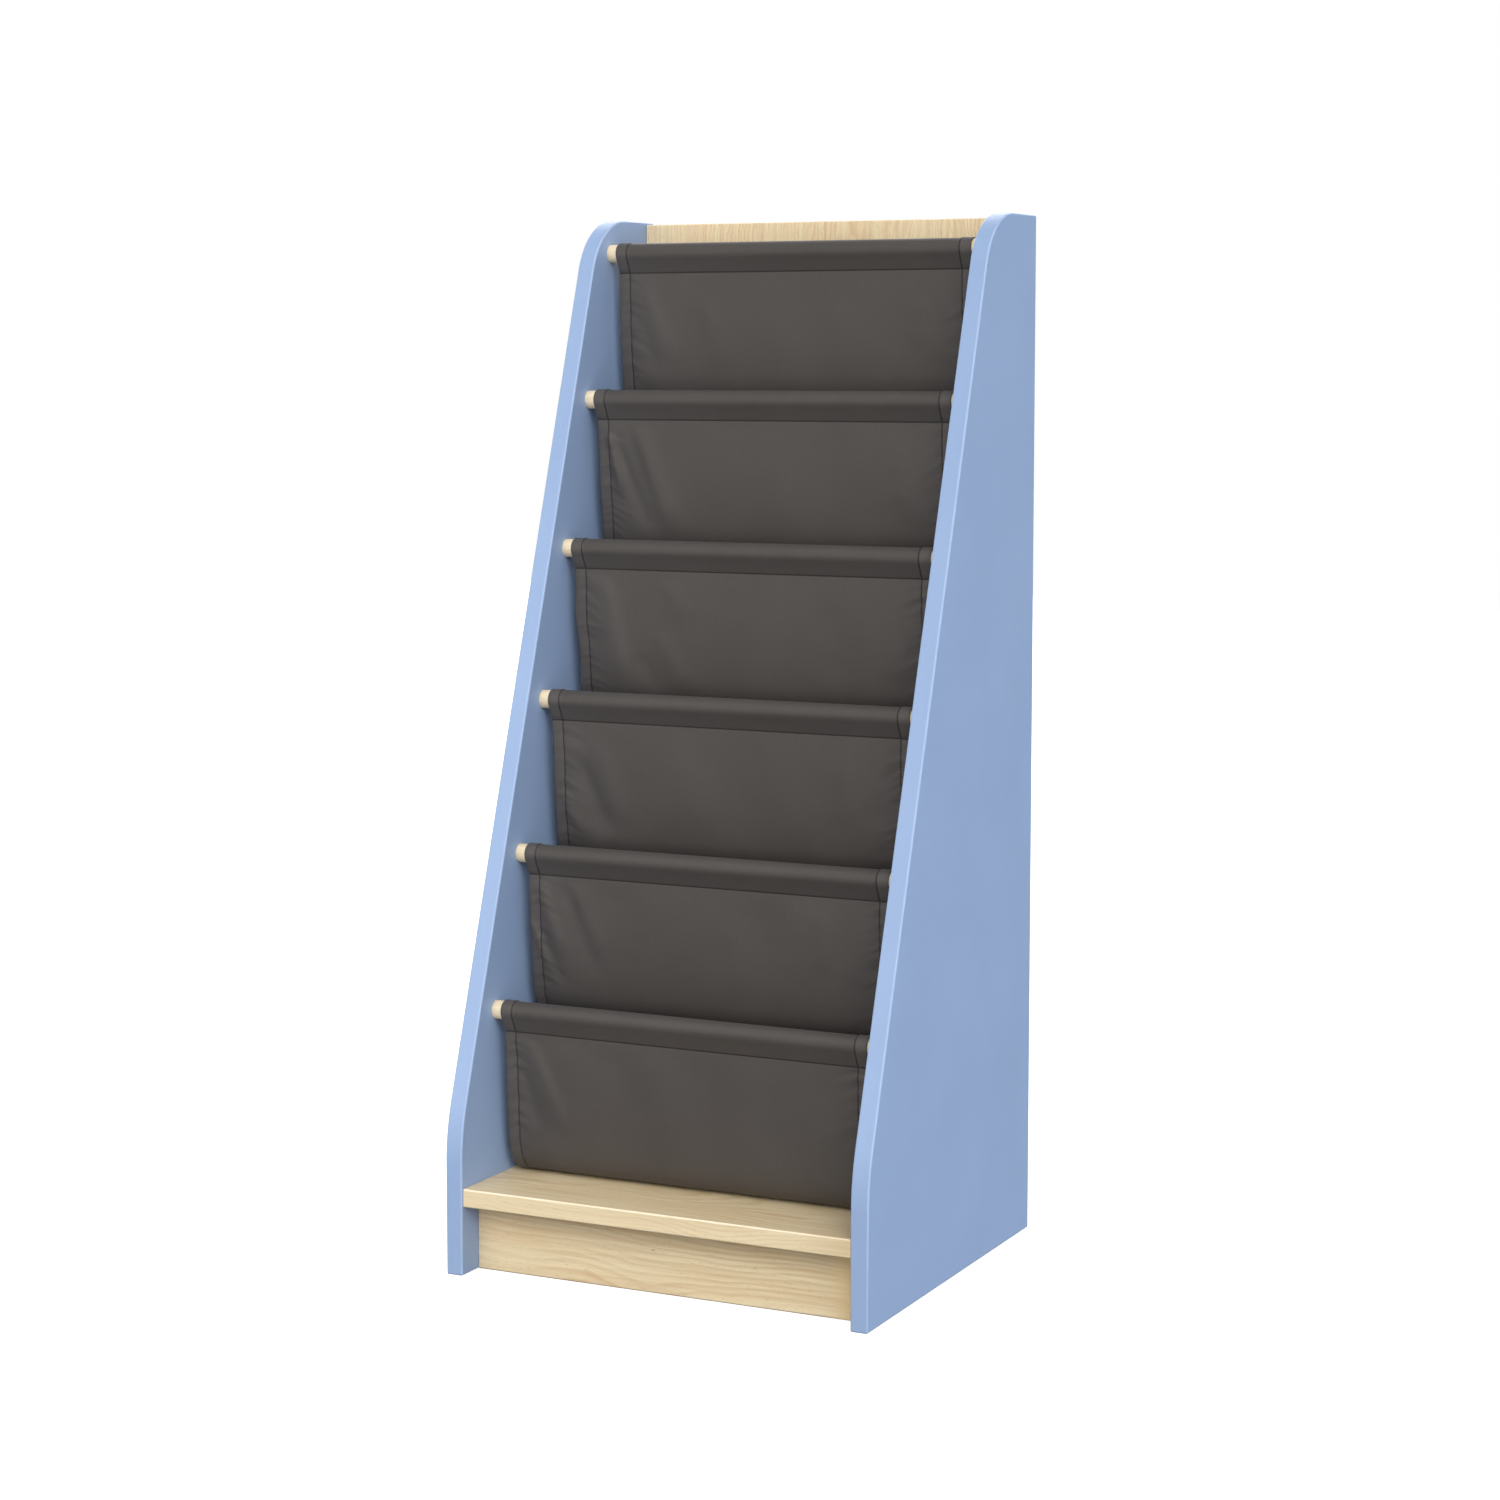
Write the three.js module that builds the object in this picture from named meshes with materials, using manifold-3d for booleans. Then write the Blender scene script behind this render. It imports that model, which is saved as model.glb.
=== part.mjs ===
// Free-standing sling book display for children: two slanted side panels, a full
// height back panel, a low display shelf with a kick plate under it, and six
// fabric slings, each hanging between a front and a rear dowel.
//
// Millimetres, +Z up, +X to the viewer's right, the front faces -Y. The origin is
// the bottom centre of the whole object, on the floor.

import * as THREE from "three";
import { mergeVertices } from "three/addons/utils/BufferGeometryUtils.js";
import Module from "manifold-3d";

const wasm = await Module();
wasm.setup();

// ---------------------------------------------------------------- dimensions

const WIDTH = 471; // over the side panels
const DEPTH = 427.5; // front edge to back face
const HEIGHT = 1081.5; // top of the side panels
const PANEL = 19; // side panel thickness
const EASE = 2; // radius of the eased arrises

const KNEE_Z = 147; // the vertical front edge meets the slant at this height
const SLANT = 0.327; // the slant runs back this far for each millimetre of height
const KNEE_R = 200; // blend between the vertical front edge and the slant
const CROWN_R = 77.5; // rounded top front corner

const GAP = 0.3; // assembly gap between neighbouring pieces

const SHELF_TOP = 90;
const SHELF_T = 19;
const SHELF_SETBACK = 1.9; // behind the front edge of the side panels
const KICK_SETBACK = 31.9;
const KICK_T = 19;
const BACK_T = 18;
const BACK_TOP = 1079;

const TIERS = 6;
const TIER_TOP_Y = 328.6; // front dowel of the top tier, from the front edge
const TIER_TOP_Z = 1045;
const TIER_STEP_Y = -51.22; // from one tier to the next one down
const TIER_STEP_Z = -156.4;
const REAR_DY = 64; // rear dowel, from the front dowel of its tier
const REAR_DZ = -29;

const DOWEL_R = 9.75;
const DOWEL_CHAMFER = 1.2;
const SOCKET_DEPTH = 11;
const SOCKET_R = 10.15;
const ROUND = 16; // sides of a dowel

const SLING_W = 411.4;
const CLOTH = 1.5; // thickness of the sheet
const SLEEVE_WALL = 1.2;
const SLEEVE_R = 10.2; // inside radius of the sleeve round the dowel
const PINCH = 22; // the stitch that closes a sleeve lies this far below the dowel

// Cam fitting: a bolt screwed into the side panel, its head held by a cam.
const CAM_R = 7.2;
const CAM_H = 12;
const CAM_BORE_R = 7.7;
const CAM_BORE_DEPTH = 13.2;
const CAM_INSET = 24; // from the end of the board to the cam's centre
const BOLT_BORE_R = 4.3;
const BOLT_THREAD_R = 2.9;
const BOLT_THREAD_L = 11;
const BOLT_HOLE_R = 3.4;
const BOLT_HOLE_DEPTH = 12;
const PIN_R = 3.8; // wooden alignment pin
const PIN_HOLE_R = 4.3;
const PIN_IN_PANEL = 10;
const PIN_IN_BOARD = 20;

// ---------------------------------------------------------------- materials

const blue = new THREE.MeshStandardMaterial({ color: 0x97b2e0, roughness: 0.55, metalness: 0 });
const maple = new THREE.MeshStandardMaterial({ color: 0xe6d0a6, roughness: 0.5, metalness: 0 });
const dowelWood = new THREE.MeshStandardMaterial({ color: 0xe4d3b0, roughness: 0.55, metalness: 0 });
const canvas = new THREE.MeshStandardMaterial({ color: 0x524d49, roughness: 0.85, metalness: 0 });
const zinc = new THREE.MeshStandardMaterial({ color: 0xb4b6b8, roughness: 0.35, metalness: 1 });
const beech = new THREE.MeshStandardMaterial({ color: 0xd8b988, roughness: 0.7, metalness: 0 });

// ---------------------------------------------------------------- helpers

function solid(geometry) {
  const g = geometry.index ? geometry.toNonIndexed() : geometry.clone();
  const bare = new THREE.BufferGeometry().setAttribute("position", g.getAttribute("position"));
  const merged = mergeVertices(bare, 1e-3);
  return new wasm.Manifold(
    new wasm.Mesh({
      numProp: 3,
      vertProperties: merged.attributes.position.array,
      triVerts: new Uint32Array(merged.index.array),
    }),
  );
}

function geometryOf(made) {
  const m = made.getMesh();
  const points = new Float32Array(m.numVert * 3);
  for (let i = 0; i < m.numVert; i++)
    points.set(m.vertProperties.subarray(i * m.numProp, i * m.numProp + 3), i * 3);
  return new THREE.BufferGeometry()
    .setAttribute("position", new THREE.BufferAttribute(points, 3))
    .setIndex(new THREE.BufferAttribute(new Uint32Array(m.triVerts), 1));
}

function cut(geometry, tools) {
  let s = solid(geometry);
  for (const t of tools) s = s.subtract(solid(t));
  return geometryOf(s);
}

function joined(parts) {
  return geometryOf(parts.map(solid).reduce((a, b) => a.add(b)));
}

// A section drawn in (y, z), run along +X from 0 to length.
function alongX(outline, length, holes = [], bevel = 0, bevelSegments = 2) {
  const shape = new THREE.Shape(outline.map(([y, z]) => new THREE.Vector2(y, z)));
  for (const h of holes) shape.holes.push(new THREE.Path(h.map(([y, z]) => new THREE.Vector2(y, z))));
  const g = new THREE.ExtrudeGeometry(shape, {
    depth: length - 2 * bevel,
    bevelEnabled: bevel > 0,
    bevelThickness: bevel,
    bevelSize: bevel,
    bevelOffset: -bevel,
    bevelSegments,
    steps: 1,
  });
  g.translate(0, 0, bevel);
  const turn = new THREE.Matrix4().makeBasis(
    new THREE.Vector3(0, 1, 0),
    new THREE.Vector3(0, 0, 1),
    new THREE.Vector3(1, 0, 0),
  );
  return g.applyMatrix4(turn);
}

// A cylinder along X, from x0 to x1.
function rodX(radius, x0, x1, y, z, sides) {
  return new THREE.CylinderGeometry(radius, radius, x1 - x0, sides)
    .rotateZ(-Math.PI / 2)
    .translate((x0 + x1) / 2, y, z);
}

function lathe(profile, sides) {
  return new THREE.LatheGeometry(profile.map(([r, h]) => new THREE.Vector2(r, h)), sides);
}

function arc(cy, cz, r, from, to, steps) {
  const out = [];
  for (let i = 0; i <= steps; i++) {
    const a = from + ((to - from) * i) / steps;
    out.push([cy + r * Math.cos(a), cz + r * Math.sin(a)]);
  }
  return out;
}

// An open line of (y, z) points made into a closed band of even thickness.
function band(line, thickness) {
  const left = [], right = [];
  line.forEach((p, i) => {
    const a = line[Math.max(0, i - 1)], b = line[Math.min(line.length - 1, i + 1)];
    const dy = b[0] - a[0], dz = b[1] - a[1], l = Math.hypot(dy, dz);
    const ny = (-dz / l) * (thickness / 2), nz = (dy / l) * (thickness / 2);
    left.push([p[0] + ny, p[1] + nz]);
    right.push([p[0] - ny, p[1] - nz]);
  });
  return [...left, ...right.reverse()];
}

const root = new THREE.Group();
root.name = "sling_book_display";
const front = -DEPTH / 2; // y of the side panels' front edge
const inside = WIDTH / 2 - PANEL; // x of the inner face of a side panel

function add(parent, name, geometry, material, x = 0, y = 0, z = 0) {
  const mesh = new THREE.Mesh(geometry, material);
  mesh.name = name;
  mesh.position.set(x, y, z);
  parent.add(mesh);
  return mesh;
}

// ---------------------------------------------------------------- where things go

const tiers = Array.from({ length: TIERS }, (_, i) => ({
  y: front + TIER_TOP_Y + i * TIER_STEP_Y,
  z: TIER_TOP_Z + i * TIER_STEP_Z,
}));

const shelfMidZ = SHELF_TOP - SHELF_T / 2;
const kickMidY = front + KICK_SETBACK + KICK_T / 2;
const backMidY = DEPTH / 2 - BACK_T / 2;

// Cam fittings: the board they sit in, the height or depth of the bolt, and the
// way that the cam's open face looks.
const cams = [
  { name: "shelf_front", y: front + 70, z: shelfMidZ, face: "down" },
  { name: "shelf_rear", y: front + 345, z: shelfMidZ, face: "down" },
  { name: "kick", y: kickMidY, z: 44, face: "back" },
  { name: "back_low", y: backMidY, z: 150, face: "back" },
  { name: "back_mid", y: backMidY, z: 540, face: "back" },
  { name: "back_high", y: backMidY, z: 930, face: "back" },
];
const pins = [
  { name: "shelf", y: front + 207.5, z: shelfMidZ },
  { name: "kick", y: kickMidY, z: 18 },
  { name: "back_low", y: backMidY, z: 345 },
  { name: "back_high", y: backMidY, z: 735 },
];
const boards = { shelf: [], kick: [], back: [] }; // what is bored out of each board

// ---------------------------------------------------------------- side panels

function panelOutline() {
  const tilt = Math.atan(SLANT);
  const kneeReach = KNEE_R * Math.tan(tilt / 2);
  const kneeCentre = [KNEE_R, KNEE_Z - kneeReach];
  const turn = Math.PI / 2 - tilt;
  const cornerY = (HEIGHT - KNEE_Z) * SLANT;
  const crownReach = CROWN_R * Math.tan(turn / 2);
  const crownCentre = [cornerY + crownReach, HEIGHT - CROWN_R];
  const line = [
    [0, 0],
    [DEPTH, 0],
    [DEPTH, HEIGHT],
    ...arc(...crownCentre, CROWN_R, Math.PI / 2, Math.PI - tilt, 9),
    ...arc(...kneeCentre, KNEE_R, Math.PI - tilt, Math.PI, 5),
  ];
  return line.map(([y, z]) => [y + front, z]);
}

function sidePanel(side) {
  const body = alongX(panelOutline(), PANEL, [], EASE, 2); // x from 0 to PANEL
  // the inner face is at x = PANEL on the left panel and at x = 0 on the right one
  const bore = (r, deep, y, z, sides) =>
    side < 0 ? rodX(r, PANEL - deep, PANEL + 5, y, z, sides) : rodX(r, -5, deep, y, z, sides);
  const tools = [];
  for (const t of tiers) {
    tools.push(bore(SOCKET_R, SOCKET_DEPTH, t.y, t.z, ROUND));
    tools.push(bore(SOCKET_R, SOCKET_DEPTH, t.y + REAR_DY, t.z + REAR_DZ, ROUND));
  }
  for (const c of cams) tools.push(bore(BOLT_HOLE_R, BOLT_HOLE_DEPTH, c.y, c.z, 10));
  for (const p of pins) tools.push(bore(PIN_HOLE_R, PIN_IN_PANEL + 0.5, p.y, p.z, 10));
  return cut(body, tools);
}

add(root, "left_side_panel", sidePanel(-1), blue, -WIDTH / 2);
add(root, "right_side_panel", sidePanel(1), blue, inside);

// ---------------------------------------------------------------- fittings

const camGeometry = (() => {
  // stands on z = 0, its open face up, the bolt comes in along +X
  const disc = lathe([[0, 0], [CAM_R, 0], [CAM_R, CAM_H], [0, CAM_H]], 14).rotateX(Math.PI / 2);
  const mouth = rodX(4.2, -3.6, 12, 0, CAM_H - (PANEL / 2 - 0.6), 8);
  const slotA = new THREE.BoxGeometry(8.5, 1.6, 4.4).translate(0, 0, CAM_H);
  const slotB = new THREE.BoxGeometry(1.6, 8.5, 4.4).translate(0, 0, CAM_H);
  return cut(disc, [mouth, slotA, slotB]);
})();

const boltGeometry = (() => {
  // along +Y from the screwed end; the panel's face is at y = BOLT_THREAD_L
  const t = BOLT_THREAD_L, reach = t + CAM_INSET;
  return lathe(
    [
      [0, 0], [BOLT_THREAD_R, 0], [BOLT_THREAD_R, t + 0.2], [3.7, t + 0.2], [3.7, t + 2],
      [2.4, t + 2], [2.4, reach - 2.6], [3.2, reach - 1.6], [3.2, reach + 2.2], [0, reach + 2.2],
    ],
    8,
  );
})();

const pinLength = PIN_IN_PANEL + PIN_IN_BOARD;
const pinGeometry = lathe(
  [[0, 0], [PIN_R - 1, 0], [PIN_R, 1], [PIN_R, pinLength - 1], [PIN_R - 1, pinLength], [0, pinLength]],
  10,
);

for (const [label, side] of [["left", -1], ["right", 1]]) {
  const fittings = new THREE.Group();
  root.add(fittings);
  for (const c of cams) {
    const board = c.name.split("_")[0];
    const boltMesh = add(fittings, `cam_bolt_${c.name}_${label}`, boltGeometry, zinc, side * (inside + BOLT_THREAD_L), c.y, c.z);
    boltMesh.rotation.z = side > 0 ? Math.PI / 2 : -Math.PI / 2;
    const camX = side * (inside - CAM_INSET);
    // turned about the cam's own centre line so that its mouth faces the bolt
    const camMesh = add(fittings, `cam_lock_${c.name}_${label}`, camGeometry, zinc, camX, c.y, c.z);
    if (c.face === "down") {
      camMesh.rotation.set(Math.PI, 0, side > 0 ? 0 : Math.PI);
      camMesh.position.z = SHELF_TOP - SHELF_T + 0.6 + CAM_H;
      boards.shelf.push(
        new THREE.CylinderGeometry(CAM_BORE_R, CAM_BORE_R, CAM_BORE_DEPTH + 5, 14)
          .rotateX(Math.PI / 2)
          .translate(camX, c.y, SHELF_TOP - SHELF_T + (CAM_BORE_DEPTH - 5) / 2),
      );
    } else {
      const t = board === "kick" ? KICK_T : BACK_T;
      const rearFace = board === "kick" ? front + KICK_SETBACK + KICK_T : DEPTH / 2;
      const sunk = PANEL / 2 - 0.6 - t / 2; // keeps the mouth on the bolt's line
      camMesh.rotation.set(-Math.PI / 2, 0, side > 0 ? 0 : Math.PI);
      camMesh.position.y = rearFace - CAM_H + sunk;
      boards[board].push(
        new THREE.CylinderGeometry(CAM_BORE_R, CAM_BORE_R, CAM_BORE_DEPTH + 5, 14).translate(
          camX,
          rearFace - (CAM_BORE_DEPTH - 5) / 2,
          c.z,
        ),
      );
    }
    boards[board].push(rodX(BOLT_BORE_R, Math.min(camX, side * (inside + 5)), Math.max(camX, side * (inside + 5)), c.y, c.z, 10));
  }
  for (const p of pins) {
    const board = p.name.split("_")[0];
    const pinMesh = add(fittings, `wood_pin_${p.name}_${label}`, pinGeometry, beech, side * (inside + PIN_IN_PANEL), p.y, p.z);
    pinMesh.rotation.z = side > 0 ? Math.PI / 2 : -Math.PI / 2;
    const inner = side * (inside - PIN_IN_BOARD - 0.6), outer = side * (inside + 5);
    boards[board].push(rodX(PIN_HOLE_R, Math.min(inner, outer), Math.max(inner, outer), p.y, p.z, 10));
  }
}

// ---------------------------------------------------------------- boards

const boardLength = 2 * (inside - GAP);

function board(outline, bores) {
  return cut(alongX(outline, boardLength).translate(-boardLength / 2, 0, 0), bores);
}

const shelfFront = front + SHELF_SETBACK;
const shelfBack = DEPTH / 2 - BACK_T - GAP;
const shelfLow = SHELF_TOP - SHELF_T;
add(
  root,
  "bottom_shelf",
  board(
    [
      ...arc(shelfFront + EASE, shelfLow + EASE, EASE, Math.PI, 1.5 * Math.PI, 3),
      [shelfBack, shelfLow],
      [shelfBack, SHELF_TOP],
      ...arc(shelfFront + EASE, SHELF_TOP - EASE, EASE, 0.5 * Math.PI, Math.PI, 3),
    ],
    boards.shelf,
  ),
  maple,
);

const kickFront = front + KICK_SETBACK;
add(
  root,
  "kick_plate",
  board(
    [
      [kickFront, 0],
      [kickFront + KICK_T, 0],
      [kickFront + KICK_T, shelfLow - GAP],
      [kickFront, shelfLow - GAP],
    ],
    boards.kick,
  ),
  maple,
);

const backFront = DEPTH / 2 - BACK_T;
add(
  root,
  "back_panel",
  board(
    [
      [backFront, 0],
      [DEPTH / 2, 0],
      ...arc(DEPTH / 2 - EASE, BACK_TOP - EASE, EASE, 0, 0.5 * Math.PI, 2),
      ...arc(backFront + EASE, BACK_TOP - EASE, EASE, 0.5 * Math.PI, Math.PI, 2),
    ],
    boards.back,
  ),
  maple,
);

// ---------------------------------------------------------------- dowels

const dowelHalf = inside + SOCKET_DEPTH - 0.5;
const dowelGeometry = lathe(
  [
    [0, -dowelHalf],
    [DOWEL_R - DOWEL_CHAMFER, -dowelHalf],
    [DOWEL_R, -dowelHalf + DOWEL_CHAMFER],
    [DOWEL_R, dowelHalf - DOWEL_CHAMFER],
    [DOWEL_R - DOWEL_CHAMFER, dowelHalf],
    [0, dowelHalf],
  ],
  ROUND,
).rotateZ(-Math.PI / 2);

// ---------------------------------------------------------------- slings

// The sheet's middle line, from the front stitch round the bottom of the pocket
// to the rear stitch, measured from the front dowel's centre.
const SHEET = [
  [-2.4, -PINCH], [-1.4, -34], [-0.5, -50], [0.3, -68], [1.6, -86], [3.6, -103],
  [6.4, -120], [9.8, -136], [13.8, -149], [19, -157], [25.5, -163.4], [33, -168],
  [41, -170.7], [47.5, -171.2], [53.5, -169.4], [58.6, -164.6], [62.4, -157], [64.6, -146],
  [65.8, -130], [66.4, -110], [66.6, -88], [66.4, -68], [66, REAR_DZ - PINCH],
];

// A closed sleeve: round the dowel and pinched together at the stitch below it.
function sleeve(pinchY, pinchZ) {
  const loop = (r, end) => {
    const reach = Math.hypot(end[0], end[1]);
    const middle = Math.atan2(end[1], end[0]);
    const half = Math.acos(r / reach);
    return [end, ...arc(0, 0, r, middle + half, middle - half + 2 * Math.PI, 15)];
  };
  const down = Math.hypot(pinchY, pinchZ);
  const at = (k) => [(pinchY * (down + k)) / down, (pinchZ * (down + k)) / down];
  return { outer: loop(SLEEVE_R + SLEEVE_WALL, at(2.5)), hole: loop(SLEEVE_R, at(-3.5)) };
}

const slingGeometry = (() => {
  const f = sleeve(-2.4, -PINCH);
  const r = sleeve(2, -PINCH);
  const shift = (line) => line.map(([y, z]) => [y + REAR_DY, z + REAR_DZ]);
  return joined([
    alongX(band(SHEET, CLOTH), SLING_W),
    alongX(f.outer, SLING_W, [f.hole]),
    alongX(shift(r.outer), SLING_W, [shift(r.hole)]),
  ]).translate(-SLING_W / 2, 0, 0);
})();

tiers.forEach((t, i) => {
  const tier = new THREE.Group();
  tier.position.set(0, t.y, t.z);
  root.add(tier);
  add(tier, `front_dowel_${i + 1}`, dowelGeometry, dowelWood);
  add(tier, `rear_dowel_${i + 1}`, dowelGeometry, dowelWood, 0, REAR_DY, REAR_DZ);
  add(tier, `sling_${i + 1}`, slingGeometry, canvas);
});

export default root;
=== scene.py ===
import math

import bpy
import numpy as np
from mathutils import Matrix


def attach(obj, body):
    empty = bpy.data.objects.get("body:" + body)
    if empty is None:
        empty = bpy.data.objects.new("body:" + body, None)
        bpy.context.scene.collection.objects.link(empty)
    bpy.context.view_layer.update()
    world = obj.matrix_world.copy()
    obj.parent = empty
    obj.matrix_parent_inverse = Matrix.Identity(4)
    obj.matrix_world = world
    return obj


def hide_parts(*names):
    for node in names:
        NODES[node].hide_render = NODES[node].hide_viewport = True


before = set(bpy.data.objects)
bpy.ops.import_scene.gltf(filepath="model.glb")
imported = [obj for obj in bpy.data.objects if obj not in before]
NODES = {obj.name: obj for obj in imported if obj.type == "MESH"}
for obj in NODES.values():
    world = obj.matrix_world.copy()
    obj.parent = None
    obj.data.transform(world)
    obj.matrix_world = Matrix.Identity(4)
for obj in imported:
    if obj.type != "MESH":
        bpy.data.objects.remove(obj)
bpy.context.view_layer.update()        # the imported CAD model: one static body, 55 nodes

# A sling book display: two slanted light blue side panels, a maple back panel, a low
# maple shelf over a set-back kick plate, and six canvas slings on round maple dowels.
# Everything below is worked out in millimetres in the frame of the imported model
# (+X to the viewer's right, the front faces -Y, +Z up, origin bottom centre).

# ------------------------------------------------------------------ camera

YAW, PITCH = 0.4524, 0.0971
camera_data = bpy.data.cameras.new("camera")
camera_data.sensor_fit = "HORIZONTAL"
camera_data.sensor_width = 36.0
camera_data.lens = 76.914
camera_data.shift_x = 0.0
camera_data.shift_y = -0.05
camera_data.clip_start = 0.05
camera_data.clip_end = 60.0
camera = bpy.data.objects.new("camera", camera_data)
camera.location = (1.44489, -2.96103, 0.92785)
camera.rotation_euler = (math.pi / 2 - PITCH, 0.0, YAW)
bpy.context.scene.collection.objects.link(camera)
bpy.context.scene.camera = camera

# ------------------------------------------------------------------ dimensions (mm)

WIDTH, DEPTH, HEIGHT, PANEL = 471.0, 427.5, 1081.5, 19.0
KNEE_Z, SLANT, KNEE_R, CROWN_R = 147.0, 0.327, 200.0, 77.5
INSIDE, FRONT, REAR, GAP = WIDTH / 2 - PANEL, -DEPTH / 2, DEPTH / 2, 0.3
BOARD_HALF = INSIDE - GAP
SHELF_TOP, SHELF_T, SHELF_SETBACK = 90.0, 19.0, 1.9
KICK_SETBACK, KICK_T, BACK_T, BACK_TOP = 31.9, 19.0, 18.0, 1079.0
TIERS, TIER_TOP_Y, TIER_TOP_Z, TIER_STEP_Y, TIER_STEP_Z = 6, 328.6, 1045.0, -51.22, -156.4
REAR_DY, REAR_DZ = 64.0, -29.0
DOWEL_R, DOWEL_HALF = 9.75, 227.0
SOCKET_R, SOCKET_DEPTH = 10.15, 11.0
CAM_R, CAM_H, CAM_BORE_R, CAM_BORE_DEPTH, CAM_INSET = 7.2, 12.0, 7.7, 13.2, 24.0
BOLT_HOLE_R, BOLT_HOLE_DEPTH, BOLT_BORE_R = 3.4, 12.0, 4.3
PIN_HOLE_R, PIN_IN_PANEL, PIN_IN_BOARD = 4.3, 10.0, 20.0
SLING_HALF, CLOTH, PINCH = 205.7, 0.8, 20.8

SHELF_MID = SHELF_TOP - SHELF_T / 2
KICK_MID = FRONT + KICK_SETBACK + KICK_T / 2
BACK_MID = REAR - BACK_T / 2
TIER = [(FRONT + TIER_TOP_Y + i * TIER_STEP_Y, TIER_TOP_Z + i * TIER_STEP_Z) for i in range(TIERS)]
CAMS = [
    ("shelf_front", FRONT + 70, SHELF_MID), ("shelf_rear", FRONT + 345, SHELF_MID),
    ("kick", KICK_MID, 44.0), ("back_low", BACK_MID, 150.0),
    ("back_mid", BACK_MID, 540.0), ("back_high", BACK_MID, 930.0),
]
PINS = [
    ("shelf", FRONT + 207.5, SHELF_MID), ("kick", KICK_MID, 18.0),
    ("back_low", BACK_MID, 345.0), ("back_high", BACK_MID, 735.0),
]

# ------------------------------------------------------------------ mesh helpers


def new_object(name, verts, faces, material, smooth=True):
    """A mesh object from points in mm."""
    me = bpy.data.meshes.new(name)
    me.from_pydata((np.asarray(verts, float) * 0.001).tolist(), [], [list(map(int, f)) for f in faces])
    me.validate()
    me.update()
    if smooth:
        me.polygons.foreach_set("use_smooth", [True] * len(me.polygons))
    if material is not None:
        me.materials.append(material)
    ob = bpy.data.objects.new(name, me)
    bpy.context.scene.collection.objects.link(ob)
    return ob


def sharpen(ob, degrees):
    """Marks the edges that turn by more than this as sharp."""
    me = ob.data
    me.update()
    normals = np.empty(len(me.polygons) * 3)
    me.polygons.foreach_get("normal", normals)
    normals = normals.reshape(-1, 3)
    edge_of = np.empty(len(me.loops), np.int64)
    me.loops.foreach_get("edge_index", edge_of)
    starts = np.array([p.loop_start for p in me.polygons])
    totals = np.array([p.loop_total for p in me.polygons])
    face_of = np.repeat(np.arange(len(me.polygons)), totals)
    order = np.argsort(edge_of, kind="stable")
    e, f = edge_of[order], face_of[order]
    pair = np.nonzero(e[1:] == e[:-1])[0]
    sharp = np.ones(len(me.edges), bool)
    cosines = (normals[f[pair]] * normals[f[pair + 1]]).sum(1)
    sharp[e[pair]] = cosines < math.cos(math.radians(degrees))
    attribute = me.attributes.get("sharp_edge") or me.attributes.new("sharp_edge", "BOOLEAN", "EDGE")
    attribute.data.foreach_set("value", sharp)
    me.update()


def weighted(ob, degrees=38.0):
    """Flat faces stay flat and rounded arrises shade round."""
    sharpen(ob, degrees)
    mod = ob.modifiers.new("weighted_normals", "WEIGHTED_NORMAL")
    mod.mode = "FACE_AREA"
    mod.weight = 90
    mod.keep_sharp = True
    return ob


def rod(radius, a, b, sides=32):
    """Verts and faces of a closed cylinder from point a to point b, in mm."""
    a, b = np.asarray(a, float), np.asarray(b, float)
    w = (b - a) / np.linalg.norm(b - a)
    u = np.cross(w, (0.0, 0.0, 1.0) if abs(w[2]) < 0.9 else (1.0, 0.0, 0.0))
    u /= np.linalg.norm(u)
    v = np.cross(w, u)
    t = np.arange(sides) * 2 * math.pi / sides
    ring = radius * (np.cos(t)[:, None] * u + np.sin(t)[:, None] * v)
    verts = np.concatenate([a + ring, b + ring])
    faces = [list(range(sides))[::-1], list(range(sides, 2 * sides))]
    faces += [[i, (i + 1) % sides, sides + (i + 1) % sides, sides + i] for i in range(sides)]
    return verts, faces


def block(low, high):
    (x0, y0, z0), (x1, y1, z1) = low, high
    verts = np.array([(x, y, z) for x in (x0, x1) for y in (y0, y1) for z in (z0, z1)], float)
    return verts, [[0, 1, 3, 2], [4, 6, 7, 5], [0, 4, 5, 1], [2, 3, 7, 6], [0, 2, 6, 4], [1, 5, 7, 3]]


def merged(parts):
    verts, faces, base = [], [], 0
    for v, f in parts:
        verts.append(v)
        faces += [[i + base for i in face] for face in f]
        base += len(v)
    return np.concatenate(verts), faces


def cut(ob, parts):
    """Takes the closed shapes in parts away from ob and applies the result."""
    cutter = new_object(ob.name + "_cutter", *merged(parts), None, smooth=False)
    mod = ob.modifiers.new("bores", "BOOLEAN")
    mod.operation = "DIFFERENCE"
    mod.solver = "EXACT"
    mod.use_self = True
    mod.object = cutter
    bpy.context.view_layer.update()
    made = bpy.data.meshes.new_from_object(ob.evaluated_get(bpy.context.evaluated_depsgraph_get()))
    ob.modifiers.clear()
    old = ob.data
    ob.data = made
    bpy.data.meshes.remove(old)
    used = cutter.data
    bpy.data.objects.remove(cutter)
    bpy.data.meshes.remove(used)
    ob.data.polygons.foreach_set("use_smooth", [True] * len(ob.data.polygons))
    return ob


def offset(line, inset):
    """A closed convex outline (counter-clockwise) moved inwards by inset."""
    line = np.asarray(line, float)
    d = np.roll(line, -1, 0) - line
    d /= np.linalg.norm(d, axis=1)[:, None]
    n = np.stack([d[:, 1], -d[:, 0]], 1)  # outward on a counter-clockwise line
    before = np.roll(n, 1, 0)
    move = (n + before) / (1.0 + (n * before).sum(1))[:, None]
    return line - inset * move


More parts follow.
